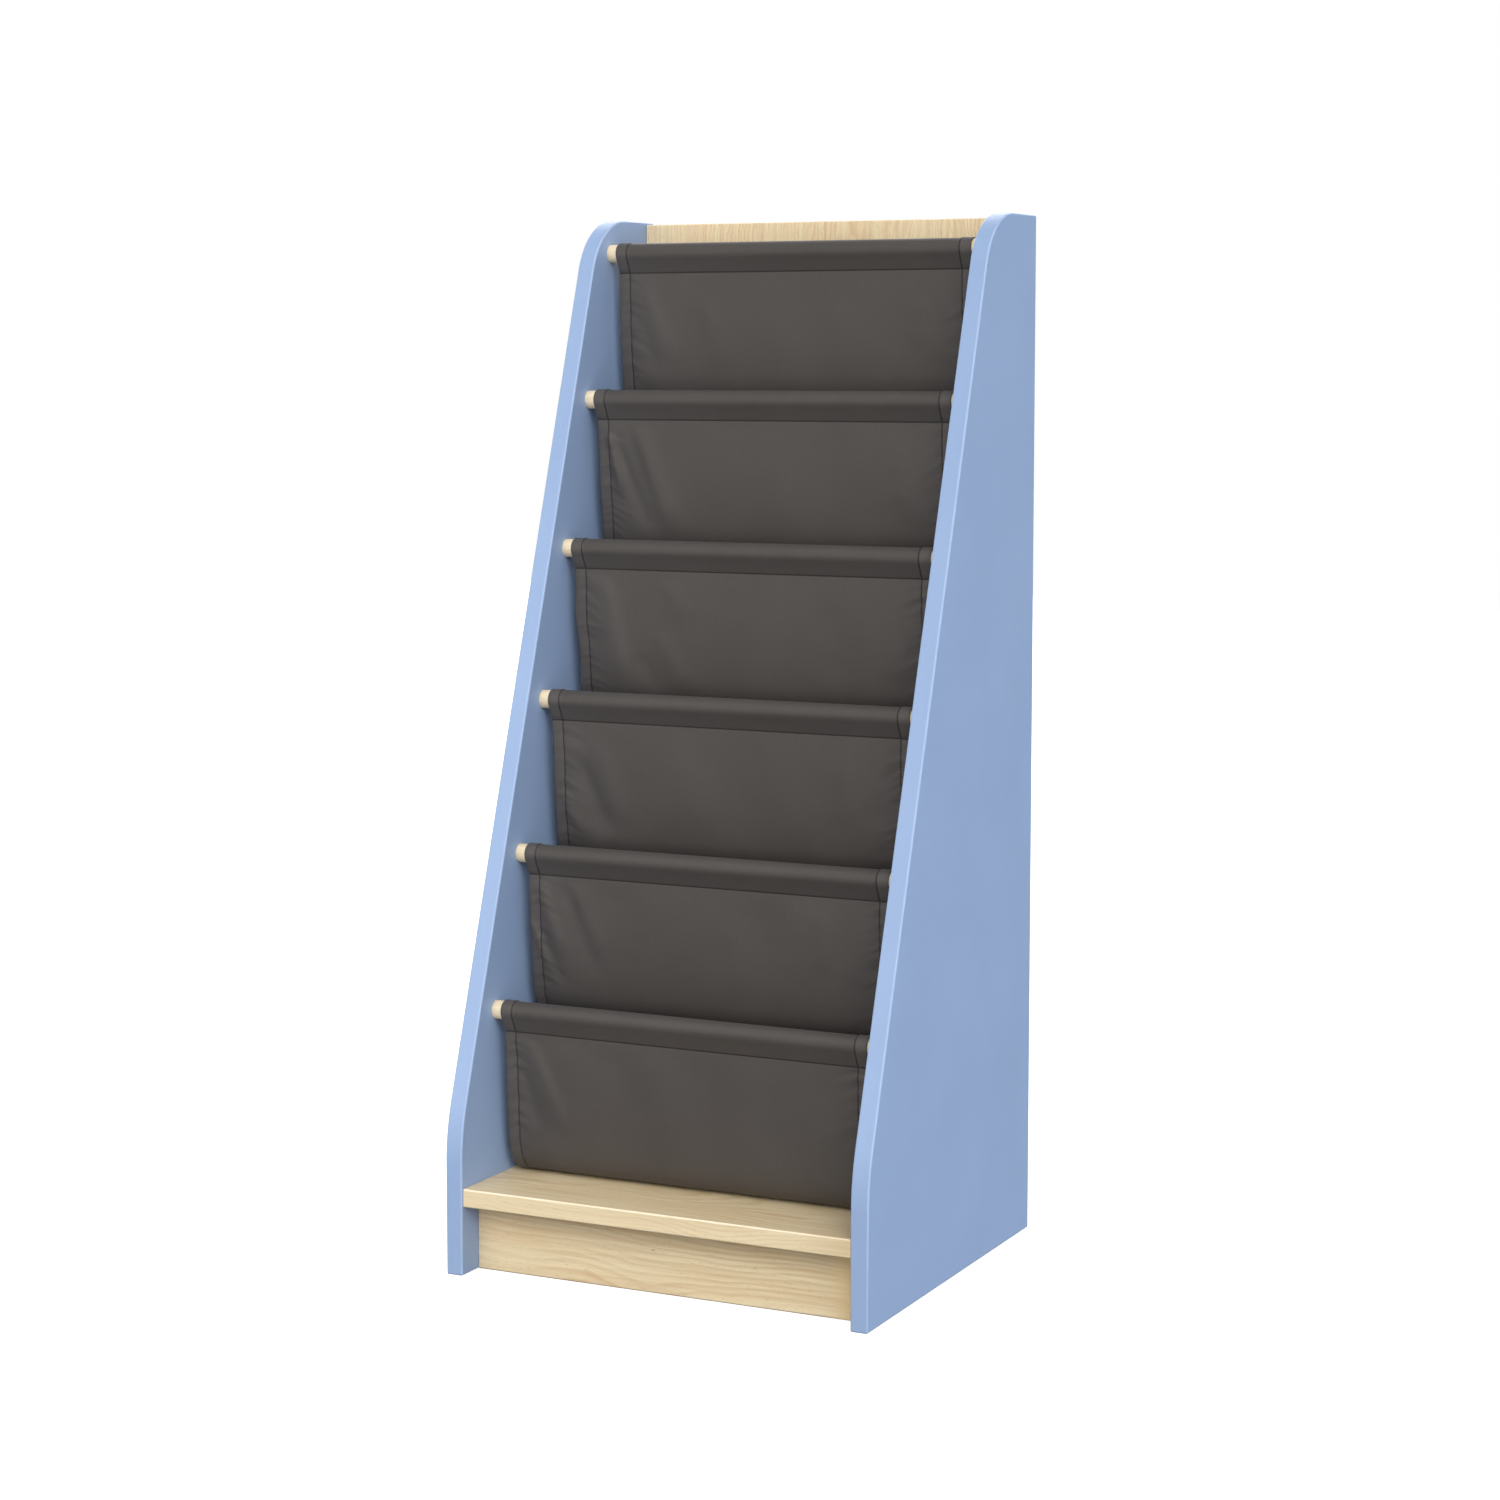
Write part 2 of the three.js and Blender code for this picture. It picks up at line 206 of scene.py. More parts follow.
def eased_slab(line, lo, hi, radius, steps=4, axis=0):
    """A closed slab: the outline in the two other axes, from lo to hi along axis, with rounded arrises. Also the share of arris at each point."""
    loops = [(lo + radius * (1 - math.cos(t)), radius * (1 - math.sin(t))) for t in np.linspace(0, math.pi / 2, steps + 1)]
    loops += [(hi - radius * (1 - math.cos(t)), radius * (1 - math.sin(t))) for t in np.linspace(math.pi / 2, 0, steps + 1)]
    n = len(line)
    verts, edge = [], []
    for k, (h, inset) in enumerate(loops):
        flat = offset(line, inset)
        p = np.insert(flat, axis, h, axis=1)
        verts.append(p)
        t = k if k <= steps else 2 * steps + 1 - k
        edge += [math.sin(math.pi * t / steps)] * n
    verts = np.concatenate(verts)
    faces = []
    for k in range(len(loops) - 1):
        for i in range(n):
            j = (i + 1) % n
            faces.append([k * n + i, k * n + j, (k + 1) * n + j, (k + 1) * n + i])
    faces.append(list(range(n))[::-1])
    last = (len(loops) - 1) * n
    faces.append(list(range(last, last + n)))
    return verts, faces, edge


def face_out(ob):
    """Turns a closed mesh's faces to point outwards."""
    import bmesh
    bm = bmesh.new()
    bm.from_mesh(ob.data)
    bmesh.ops.recalc_face_normals(bm, faces=bm.faces)
    if bm.calc_volume(signed=True) < 0:
        bmesh.ops.reverse_faces(bm, faces=bm.faces)
    bm.to_mesh(ob.data)
    bm.free()
    ob.data.update()
    return ob


def point_values(ob, name, values):
    attribute = ob.data.attributes.new(name, "FLOAT", "POINT")
    attribute.data.foreach_set("value", np.asarray(values, np.float32))


# ------------------------------------------------------------------ material helpers


class Nodes:
    """A short way to write a node tree."""

    def __init__(self, name):
        self.mat = bpy.data.materials.new(name)
        self.mat.use_nodes = True
        self.t = self.mat.node_tree
        self.t.nodes.clear()
        self.out = self.t.nodes.new("ShaderNodeOutputMaterial")
        self.shader = self.t.nodes.new("ShaderNodeBsdfPrincipled")
        self.t.links.new(self.shader.outputs[0], self.out.inputs[0])

    def put(self, socket, value):
        if isinstance(value, bpy.types.NodeSocket):
            self.t.links.new(value, socket)
        else:
            socket.default_value = value

    def node(self, kind, out=0, inputs=(), **settings):
        n = self.t.nodes.new(kind)
        for k, v in settings.items():
            setattr(n, k, v)
        for k, v in dict(inputs).items():
            self.put(n.inputs[k], v)
        return n.outputs[out]

    def math(self, op, a, b=None, c=None, clamp=False):
        n = self.t.nodes.new("ShaderNodeMath")
        n.operation, n.use_clamp = op, clamp
        for i, v in enumerate((a, b, c)):
            if v is not None:
                self.put(n.inputs[i], v)
        return n.outputs[0]

    def place(self, scale=(1, 1, 1), shift=(0, 0, 0), turn=(0, 0, 0), source=None):
        if source is None:
            source = self.node("ShaderNodeTexCoord", "Object")
        return self.node("ShaderNodeMapping", 0, {"Vector": source, "Scale": scale, "Location": shift, "Rotation": turn})

    def noise(self, vector, scale=1.0, detail=2.0, rough=0.5, distort=0.0, out="Fac"):
        return self.node("ShaderNodeTexNoise", out, {"Vector": vector, "Scale": scale, "Detail": detail, "Roughness": rough, "Distortion": distort})

    def span(self, value, lo, hi, to_lo=0.0, to_hi=1.0, kind="LINEAR"):
        n = self.t.nodes.new("ShaderNodeMapRange")
        n.interpolation_type = kind
        n.clamp = True
        self.put(n.inputs[0], value)
        for i, v in zip((1, 2, 3, 4), (lo, hi, to_lo, to_hi)):
            n.inputs[i].default_value = v
        return n.outputs[0]

    def mix(self, factor, a, b, blend="MIX"):
        n = self.t.nodes.new("ShaderNodeMix")
        n.data_type, n.blend_type = "RGBA", blend
        n.clamp_factor = True
        self.put(n.inputs[0], factor)
        self.put(n.inputs[6], a)
        self.put(n.inputs[7], b)
        return n.outputs[2]

    def bump(self, height, strength, distance, before=None):
        inputs = {"Height": height, "Strength": strength, "Distance": distance}
        if before is not None:
            inputs["Normal"] = before
        return self.node("ShaderNodeBump", 0, inputs)

    def set(self, **values):
        for k, v in values.items():
            self.put(self.shader.inputs[k.replace("_", " ")], v)


def rgb(r, g, b):
    """A colour given in sRGB, 0 to 255, as linear RGBA."""
    def lin(c):
        c /= 255.0
        return c / 12.92 if c <= 0.04045 else ((c + 0.055) / 1.055) ** 2.4
    return (lin(r), lin(g), lin(b), 1.0)


# ------------------------------------------------------------------ materials


def laminate():
    m = Nodes("light_blue_laminate")
    soft = m.noise(m.place(), 9.0, 3.0, 0.55)
    fine = m.noise(m.place(), 420.0, 3.0, 0.6)
    grit = m.noise(m.place(), 1600.0, 2.0, 0.6)
    tone = m.mix(m.span(soft, 0.3, 0.7), rgb(146, 171, 212), rgb(151, 176, 217))
    tone = m.mix(m.span(fine, 0.35, 0.7, 0.0, 0.5), tone, rgb(154, 179, 219))
    tone = m.mix(m.span(grit, 0.62, 0.8, 0.0, 0.25), tone, rgb(137, 162, 204))
    edge = m.node("ShaderNodeAttribute", "Fac", attribute_name="arris")
    # the arrises are painted lighter: partly edge wear, partly a painted highlight
    wear_and_highlight = m.math("MULTIPLY", edge, m.span(m.noise(m.place(), 60.0, 3.0, 0.6), 0.3, 0.7, 0.45, 0.8))
    tone = m.mix(wear_and_highlight, tone, rgb(170, 192, 228))
    parts = m.t.nodes.new("ShaderNodeSeparateXYZ")
    m.put(parts.inputs[0], m.node("ShaderNodeTexCoord", "Object"))
    tone = m.mix(m.span(parts.outputs[2], 0.0004, 0.0016, 0.55, 0.0), tone, rgb(84, 100, 132))  # painted contact shadow along the line where it meets the floor
    m.set(Base_Color=tone, Roughness=m.span(fine, 0.3, 0.7, 0.40, 0.50))
    m.shader.inputs["Specular IOR Level"].default_value = 0.4
    m.set(Normal=m.bump(m.math("ADD", fine, m.math("MULTIPLY", grit, 0.4)), 0.10, 0.00004))
    return m.mat


def maple(name, along, heart, pitch, light, line, seed, ring_share=0.5, rough=0.42, band=None, calm=1.0, grain=1.0, painted_foot_and_end_shade=False):
    """Clear-lacquered maple. along is the grain's axis. The growth rings lie round a wavering axis
    through heart, given on the two other axes in metres. band is the y of a board's front edge, which
    is a lighter glued strip, and the z of its top; it also places a painted highlight along the top front
    arris and a painted shade towards the right end. calm straightens the rings, grain strengthens the
    fine lines, foot paints a contact shadow along the line where the board meets the floor and a warm
    shade towards the right end."""
    m = Nodes(name)
    across = [k for k in range(3) if k != along]
    def stretch(lengthwise, crosswise, shift=0.0):
        s = [crosswise] * 3
        s[along] = lengthwise
        return m.place(scale=tuple(s), shift=(seed * 3.1 + shift, seed * 1.7, seed * 2.3))
    parts = m.t.nodes.new("ShaderNodeSeparateXYZ")
    m.put(parts.inputs[0], m.node("ShaderNodeTexCoord", "Object"))
    sway = []
    for k, (axis, centre) in enumerate(zip(across, heart)):
        slow = m.noise(stretch(4.5 * calm, 3.0, 11.0 + 5.0 * k), 1.0, 2.0, 0.45)
        shifted = m.math("SUBTRACT", parts.outputs[axis], centre)
        sway.append(m.math("MULTIPLY_ADD", m.math("SUBTRACT", slow, 0.5), 0.090, shifted))
    far = m.math("SQRT", m.math("ADD", m.math("MULTIPLY", sway[0], sway[0]), m.math("MULTIPLY", sway[1], sway[1])))
    bend = m.noise(stretch(13.0 * calm, 38.0, 4.0), 1.0, 2.0, 0.5)
    curl = m.noise(stretch(55.0 * calm, 120.0, 8.0), 1.0, 2.0, 0.55)
    ripple = m.math("ADD", m.math("MULTIPLY", bend, 4.2 * calm), m.math("MULTIPLY", curl, 1.15 * calm))
    rings = m.math("FRACT", m.math("ADD", m.math("DIVIDE", far, pitch), ripple))
    late = m.math("MULTIPLY", m.span(rings, 0.30, 0.86, 0.0, 1.0, "SMOOTHSTEP"), m.span(rings, 0.90, 1.0, 1.0, 0.0, "SMOOTHSTEP"))
    fade = m.span(m.noise(stretch(7.0, 30.0, 9.0), 1.0, 3.0, 0.55), 0.34, 0.66, 0.22, 1.0)
    fibre = m.noise(stretch(16.0, 900.0), 1.0, 3.0, 0.6)
    streak = m.noise(stretch(5.0, 210.0, 2.0), 1.0, 3.0, 0.6)
    fleck = m.noise(stretch(240.0, 1500.0, 5.0), 1.0, 1.0, 0.5)
    knot = m.noise(stretch(60.0, 240.0, 15.0), 1.0, 1.0, 0.5)
    cloud = m.noise(stretch(3.0, 9.0, 7.0), 1.0, 2.0, 0.5)
    warm = m.noise(stretch(6.0, 48.0, 13.0), 1.0, 2.0, 0.5)
    tone = m.mix(m.span(cloud, 0.32, 0.68), light, tuple(a * b for a, b in zip(light, (0.965, 0.95, 0.92))) + (1.0,))
    tone = m.mix(m.span(warm, 0.46, 0.70, 0.0, 0.5), tone, tuple(a * b for a, b in zip(light, (0.99, 0.90, 0.82))) + (1.0,))
    tone = m.mix(m.math("MULTIPLY", late, m.math("MULTIPLY", fade, ring_share)), tone, line)
    tone = m.mix(m.span(streak, 0.42, 0.74, 0.0, min(1.0, 0.34 * grain)), tone, line)
    tone = m.mix(m.span(fibre, 0.45, 0.78, 0.0, min(1.0, 0.20 * grain)), tone, line)
    tone = m.mix(m.span(streak, 0.44, 0.24, 0.0, min(1.0, 0.30 * grain)), tone, tuple(min(0.92, 1.08 * c) for c in light[:3]) + (1.0,))
    dash = m.noise(stretch(120.0, 1100.0, 21.0), 1.0, 1.0, 0.5)
    tone = m.mix(m.span(dash, 0.66, 0.74, 0.0, 0.34 * grain), tone, tuple(0.72 * c for c in line[:3]) + (1.0,))
    tone = m.mix(m.span(fleck, 0.70, 0.78, 0.0, 0.40), tone, tuple(0.55 * c for c in line[:3]) + (1.0,))
    tone = m.mix(m.span(knot, 0.795, 0.83, 0.0, 0.70), tone, tuple(0.34 * c for c in line[:3]) + (1.0,))
    if band is not None:
        front, top = band
        edge = m.span(parts.outputs[1], front + 0.0008, front + 0.0014, 1.0, 0.0)
        tone = m.mix(m.math("MULTIPLY", edge, 0.36), tone, rgb(240, 225, 195))
        corner = m.math("SUBTRACT", m.math("ADD", parts.outputs[1], top - front), parts.outputs[2])  # distance round the top front arris
        # painted highlight along the top front arris
        tone = m.mix(m.span(corner, 0.00112, 0.00165, 0.75, 0.0), tone, rgb(255, 242, 222))
        # painted shade towards the right end, where the right panel shades the shelf
        shade = m.span(parts.outputs[0], 0.150, 0.216, 0.0, 0.30, "SMOOTHSTEP")
        tone = m.mix(shade, tone, tuple(a * b for a, b in zip(line[:3], (0.80, 0.78, 0.72))) + (1.0,))
    if painted_foot_and_end_shade:
        # painted contact shadow along the line where the board meets the floor
        tone = m.mix(m.span(parts.outputs[2], 0.0004, 0.0016, 0.70, 0.0), tone, rgb(96, 74, 50))
        # painted warm shade towards the right end, beside the right panel
        painted_end_shade = m.span(parts.outputs[0], 0.172, 0.214, 0.0, 0.90, "SMOOTHSTEP")
        tone = m.mix(painted_end_shade, tone, tuple(a * b for a, b in zip(light[:3], (1.05, 0.90, 0.66))) + (1.0,))
    m.set(Base_Color=tone, Roughness=m.span(streak, 0.3, 0.7, rough - 0.05, rough + 0.06))
    m.shader.inputs["Specular IOR Level"].default_value = 0.4
    m.set(Normal=m.bump(fibre, 0.10, 0.00005))
    return m.mat


def canvas():
    """Plain-weave charcoal canvas. The threads run along the sheet's own map, in metres."""
    m = Nodes("charcoal_canvas")
    uv = m.node("ShaderNodeUVMap", 0, uv_map="cloth")
    parts = m.t.nodes.new("ShaderNodeSeparateXYZ")
    m.put(parts.inputs[0], uv)
    u, v = parts.outputs[0], parts.outputs[1]
    pitch = 0.00062
    wu = m.math("SINE", m.math("MULTIPLY", u, 2 * math.pi / pitch / 2))
    wv = m.math("SINE", m.math("MULTIPLY", v, 2 * math.pi / pitch / 2))
    over = m.math("MULTIPLY", wu, wv)  # changes sign from one crossing to the next
    warp = m.math("MULTIPLY", m.math("ABSOLUTE", wu), m.span(over, -0.25, 0.25, 0.35, 1.0))
    weft = m.math("MULTIPLY", m.math("ABSOLUTE", wv), m.span(over, 0.25, -0.25, 0.35, 1.0))
    weave = m.math("MAXIMUM", warp, weft)
    slub_u = m.noise(m.place(scale=(24.0, 1300.0, 1.0), source=uv), 1.0, 2.0, 0.6)
    slub_v = m.noise(m.place(scale=(1300.0, 24.0, 1.0), source=uv), 1.0, 2.0, 0.6)
    mottle = m.noise(m.place(), 16.0, 3.0, 0.5)
    fuzz = m.noise(m.place(), 900.0, 2.0, 0.7)
    tone = m.mix(m.span(mottle, 0.3, 0.7), rgb(67, 63, 62), rgb(72, 68, 67))
    tone = m.mix(m.span(slub_u, 0.35, 0.7, 0.0, 0.35), tone, rgb(79, 74, 73))
    tone = m.mix(m.span(slub_v, 0.35, 0.7, 0.0, 0.30), tone, rgb(62, 57, 56))
    tone = m.mix(m.span(weave, 0.3, 1.0, 0.35, 0.0), tone, rgb(49, 45, 44))
    tone = m.mix(m.span(fuzz, 0.5, 0.8, 0.0, 0.25), tone, rgb(87, 82, 81))
    # painted shade along the needle's lines, darkest at its holes
    from_edge = m.math("MINIMUM", u, m.math("SUBTRACT", 2 * SLING_HALF * 0.001, u))
    # painted light: the hem strips beside the side edges are painted a little lighter
    tone = m.mix(m.span(from_edge, HEM * 0.001 - 0.0002, HEM * 0.001 + 0.0006, 0.26, 0.0), tone, rgb(93, 88, 87))
    hem_line = m.math("ABSOLUTE", m.math("SUBTRACT", from_edge, HEM * 0.001))
    seam_line = m.math("MINIMUM", m.math("ABSOLUTE", m.math("SUBTRACT", v, S_FRONT * 0.001)), m.math("ABSOLUTE", m.math("SUBTRACT", v, S_REAR * 0.001)))
    holes_v = m.span(m.math("ABSOLUTE", m.math("SUBTRACT", m.math("FRACT", m.math("DIVIDE", v, STITCH * 0.001)), 0.5)), 0.12, 0.40, 0.35, 1.0)
    holes_u = m.span(m.math("ABSOLUTE", m.math("SUBTRACT", m.math("FRACT", m.math("DIVIDE", u, STITCH * 0.001)), 0.5)), 0.25, 0.5, 0.75, 1.0)
    painted_seam_shade = m.math("MAXIMUM", m.math("MULTIPLY", m.span(hem_line, 0.0005, 0.0012, 1.0, 0.0, "SMOOTHSTEP"), holes_v),
                     m.math("MULTIPLY", m.span(seam_line, 0.0005, 0.0012, 1.0, 0.0, "SMOOTHSTEP"), holes_u))
    tone = m.mix(m.math("MULTIPLY", painted_seam_shade, 0.92), tone, rgb(26, 24, 23))
    m.set(Base_Color=tone, Roughness=m.span(fuzz, 0.3, 0.7, 0.58, 0.70))
    m.shader.inputs["Specular IOR Level"].default_value = 0.57
    m.shader.inputs["Sheen Weight"].default_value = 0.06
    m.shader.inputs["Sheen Roughness"].default_value = 0.45
    m.shader.inputs["Sheen Tint"].default_value = (0.80, 0.78, 0.76, 1.0)
    ripple = m.noise(m.place(), 75.0, 3.0, 0.5)
    soft = m.bump(ripple, 0.12, 0.0006)
    m.set(Normal=m.bump(weave, 0.30, 0.00012, before=soft))
    return m.mat


def thread():
    m = Nodes("dark_sewing_thread")
    twist = m.noise(m.place(), 1500.0, 2.0, 0.6)
    m.set(Base_Color=m.mix(m.span(twist, 0.35, 0.65), rgb(30, 28, 27), rgb(44, 41, 40)), Roughness=0.6)
    m.shader.inputs["Specular IOR Level"].default_value = 0.3
    m.set(Normal=m.bump(twist, 0.2, 0.00006))
    return m.mat


def zinc():
    m = Nodes("bright_zinc")
    cloud = m.noise(m.place(), 220.0, 3.0, 0.6)
    scratch = m.noise(m.place(scale=(2600.0, 190.0, 2600.0)), 1.0, 2.0, 0.6)
    m.set(Base_Color=m.mix(m.span(cloud, 0.3, 0.7), rgb(176, 178, 180), rgb(196, 198, 200)), Roughness=m.span(scratch, 0.3, 0.7, 0.26, 0.42))
    m.shader.inputs["Metallic"].default_value = 1.0
    m.set(Normal=m.bump(scratch, 0.15, 0.00004))
    return m.mat


def beech():
    m = Nodes("bare_beech")
    ray = m.noise(m.place(scale=(90.0, 1500.0, 1500.0)), 1.0, 2.0, 0.6)
    broad = m.noise(m.place(scale=(12.0, 260.0, 260.0)), 1.0, 3.0, 0.55)
    tone = m.mix(m.span(broad, 0.3, 0.7), rgb(222, 192, 150), rgb(205, 170, 124))
    tone = m.mix(m.span(ray, 0.6, 0.72, 0.0, 0.5), tone, rgb(170, 128, 86))
    m.set(Base_Color=tone, Roughness=0.66)
    m.set(Normal=m.bump(ray, 0.2, 0.00006))
    return m.mat


BLUE = laminate()
MAPLE_LIGHT, MAPLE_LINE = rgb(232, 217, 184), rgb(205, 175, 132)
MAPLE_SHELF = maple("maple_shelf", 0, (-0.13, -0.03), 0.0036, MAPLE_LIGHT, MAPLE_LINE, 1.0, ring_share=0.72,
                    band=((FRONT + SHELF_SETBACK) * 0.001, SHELF_TOP * 0.001), calm=0.6, grain=1.5)
MAPLE_KICK = maple("maple_kick", 0, (-0.10, -0.03), 0.0034, rgb(235, 220, 188), rgb(204, 172, 129), 4.0, ring_share=0.62, calm=0.5, grain=1.4, painted_foot_and_end_shade=True)
MAPLE_BACK = maple("maple_back", 2, (0.05, 0.13), 0.0042, rgb(247, 231, 195), rgb(222, 185, 144), 2.0, ring_share=0.66, grain=1.5)
MAPLE_DOWEL = maple("maple_dowel", 0, (0.3, 0.4), 0.0050, rgb(243, 228, 199), rgb(214, 186, 146), 3.0, ring_share=0.3, rough=0.46)
THREAD = thread()
ZINC = zinc()
BEECH = beech()

# ------------------------------------------------------------------ side panels


def arc(cy, cz, r, start, end, steps):
    t = np.linspace(start, end, steps + 1)
    return [(cy + r * math.cos(a), cz + r * math.sin(a)) for a in t]


def panel_outline():
    tilt = math.atan(SLANT)
    knee_reach = KNEE_R * math.tan(tilt / 2)
    corner = (HEIGHT - KNEE_Z) * SLANT
    crown_reach = CROWN_R * math.tan((math.pi / 2 - tilt) / 2)
    line = [(0.0, 0.0), (DEPTH, 0.0), (DEPTH, HEIGHT)]
    line += arc(corner + crown_reach, HEIGHT - CROWN_R, CROWN_R, math.pi / 2, math.pi - tilt, 36)
    line += arc(KNEE_R, KNEE_Z - knee_reach, KNEE_R, math.pi - tilt, math.pi, 14)
    return [(y + FRONT, z) for y, z in line]


def side_panel(name, side):
    lo, hi = (-WIDTH / 2, -INSIDE) if side < 0 else (INSIDE, WIDTH / 2)
    verts, faces, edge = eased_slab(panel_outline(), lo, hi, 2.0, 4, axis=0)
    ob = new_object(name, verts, faces, BLUE)
    face_out(ob)
    point_values(ob, "arris", edge)
    tools = []
    def bore(r, deep, y, z, sides=32):
        a, b = (side * (INSIDE + deep), side * (INSIDE - 4.0))
        tools.append(rod(r, (a, y, z), (b, y, z), sides))
    for y, z in TIER:
        bore(SOCKET_R, SOCKET_DEPTH, y, z, 48)
        bore(SOCKET_R, SOCKET_DEPTH, y + REAR_DY, z + REAR_DZ, 48)
    for _, y, z in CAMS:
        bore(BOLT_HOLE_R, BOLT_HOLE_DEPTH, y, z, 20)
    for _, y, z in PINS:
        bore(PIN_HOLE_R, PIN_IN_PANEL + 0.5, y, z, 20)
    cut(ob, tools)
    weighted(ob)
    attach(ob, "root")
    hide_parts(name.replace("_board", ""))
    return ob


side_panel("left_side_panel_board", -1)
side_panel("right_side_panel_board", 1)

# ------------------------------------------------------------------ boards


def eased_board(name, low, high, radius, material, node, bores):
    """A board lying between the side panels, its long arrises rounded."""
    (x0, y0, z0), (x1, y1, z1) = low, high
    line = []
    corners = [(y0, z0, radius[0]), (y1, z0, radius[1]), (y1, z1, radius[2]), (y0, z1, radius[3])]
    start = [math.pi, 1.5 * math.pi, 0.0, 0.5 * math.pi]
    for (y, z, r), a in zip(corners, start):
        cy = y + r if y == y0 else y - r
        cz = z + r if z == z0 else z - r
        line += arc(cy, cz, r, a, a + math.pi / 2, 5)
    verts, faces, _ = eased_slab(line, x0, x1, 0.25, 1, axis=0)
    ob = new_object(name, verts, faces, material)
    face_out(ob)
    for parts in bores:
        cut(ob, parts)
    weighted(ob)
    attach(ob, "root")
    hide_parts(node)
    return ob


def board_bores(board):
    wide, narrow = [], []
    for label, y, z in CAMS:
        if label.split("_")[0] != board:
            continue
        for side in (-1, 1):
            x = side * (INSIDE - CAM_INSET)
            if board == "shelf":
                wide.append(rod(CAM_BORE_R, (x, y, SHELF_TOP - SHELF_T - 5), (x, y, SHELF_TOP - SHELF_T + CAM_BORE_DEPTH), 32))
            else:
                back = FRONT + KICK_SETBACK + KICK_T if board == "kick" else REAR
                wide.append(rod(CAM_BORE_R, (x, back + 5, z), (x, back - CAM_BORE_DEPTH, z), 32))
            narrow.append(rod(BOLT_BORE_R, (x, y, z), (side * (INSIDE + 5), y, z), 20))
    for label, y, z in PINS:
        if label.split("_")[0] != board:
            continue
        for side in (-1, 1):
            narrow.append(rod(PIN_HOLE_R, (side * (INSIDE - PIN_IN_BOARD - 0.6), y, z), (side * (INSIDE + 5), y, z), 20))
    return [wide, narrow]


eased_board("shelf_board", (-BOARD_HALF, FRONT + SHELF_SETBACK, SHELF_TOP - SHELF_T), (BOARD_HALF, REAR - BACK_T - GAP, SHELF_TOP),
            (1.6, 0.3, 0.3, 1.9), MAPLE_SHELF, "bottom_shelf", board_bores("shelf"))
eased_board("kick_board", (-BOARD_HALF, FRONT + KICK_SETBACK, 0.0), (BOARD_HALF, FRONT + KICK_SETBACK + KICK_T, SHELF_TOP - SHELF_T - GAP),
            (0.6, 0.6, 0.3, 0.3), MAPLE_KICK, "kick_plate", board_bores("kick"))
eased_board("back_board", (-BOARD_HALF, REAR - BACK_T, 0.0), (BOARD_HALF, REAR, BACK_TOP),
            (0.6, 0.6, 1.2, 1.2), MAPLE_BACK, "back_panel", board_bores("back"))

# ------------------------------------------------------------------ dowels


def dowel(name, y, z, node, turn):
    sides = 56
    profile = [(-DOWEL_HALF, 0.0), (-DOWEL_HALF, DOWEL_R - 1.3), (-DOWEL_HALF + 0.35, DOWEL_R - 0.7), (-DOWEL_HALF + 1.2, DOWEL_R - 0.12), (-DOWEL_HALF + 2.2, DOWEL_R)]
    stations = [-216.5, -211.0, -205.7, -150.0, -75.0]
    profile += [(x, DOWEL_R) for x in stations]
    profile = profile + [(0.0, DOWEL_R)] + [(-x, r) for x, r in profile[::-1]]
    rings = profile[1:-1]
    t = np.arange(sides) * 2 * math.pi / sides + turn
    verts = [(x, y + r * math.cos(a), z + r * math.sin(a)) for x, r in rings for a in t]
    faces = []
    for k in range(len(rings) - 1):
        for i in range(sides):
            j = (i + 1) % sides
            faces.append([k * sides + i, k * sides + j, (k + 1) * sides + j, (k + 1) * sides + i])
    faces.append(list(range(sides))[::-1])
    faces.append(list(range((len(rings) - 1) * sides, len(rings) * sides)))
    ob = new_object(name, verts, faces, MAPLE_DOWEL)
    face_out(ob)
    weighted(ob)
    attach(ob, "root")
    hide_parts(node)
    return ob


for i, (y, z) in enumerate(TIER):
    dowel(f"dowel_front_{i + 1}", y, z, f"front_dowel_{i + 1}", 0.3 * i)
    dowel(f"dowel_rear_{i + 1}", y + REAR_DY, z + REAR_DZ, f"rear_dowel_{i + 1}", 0.3 * i + 1.1)

# ------------------------------------------------------------------ cam locks


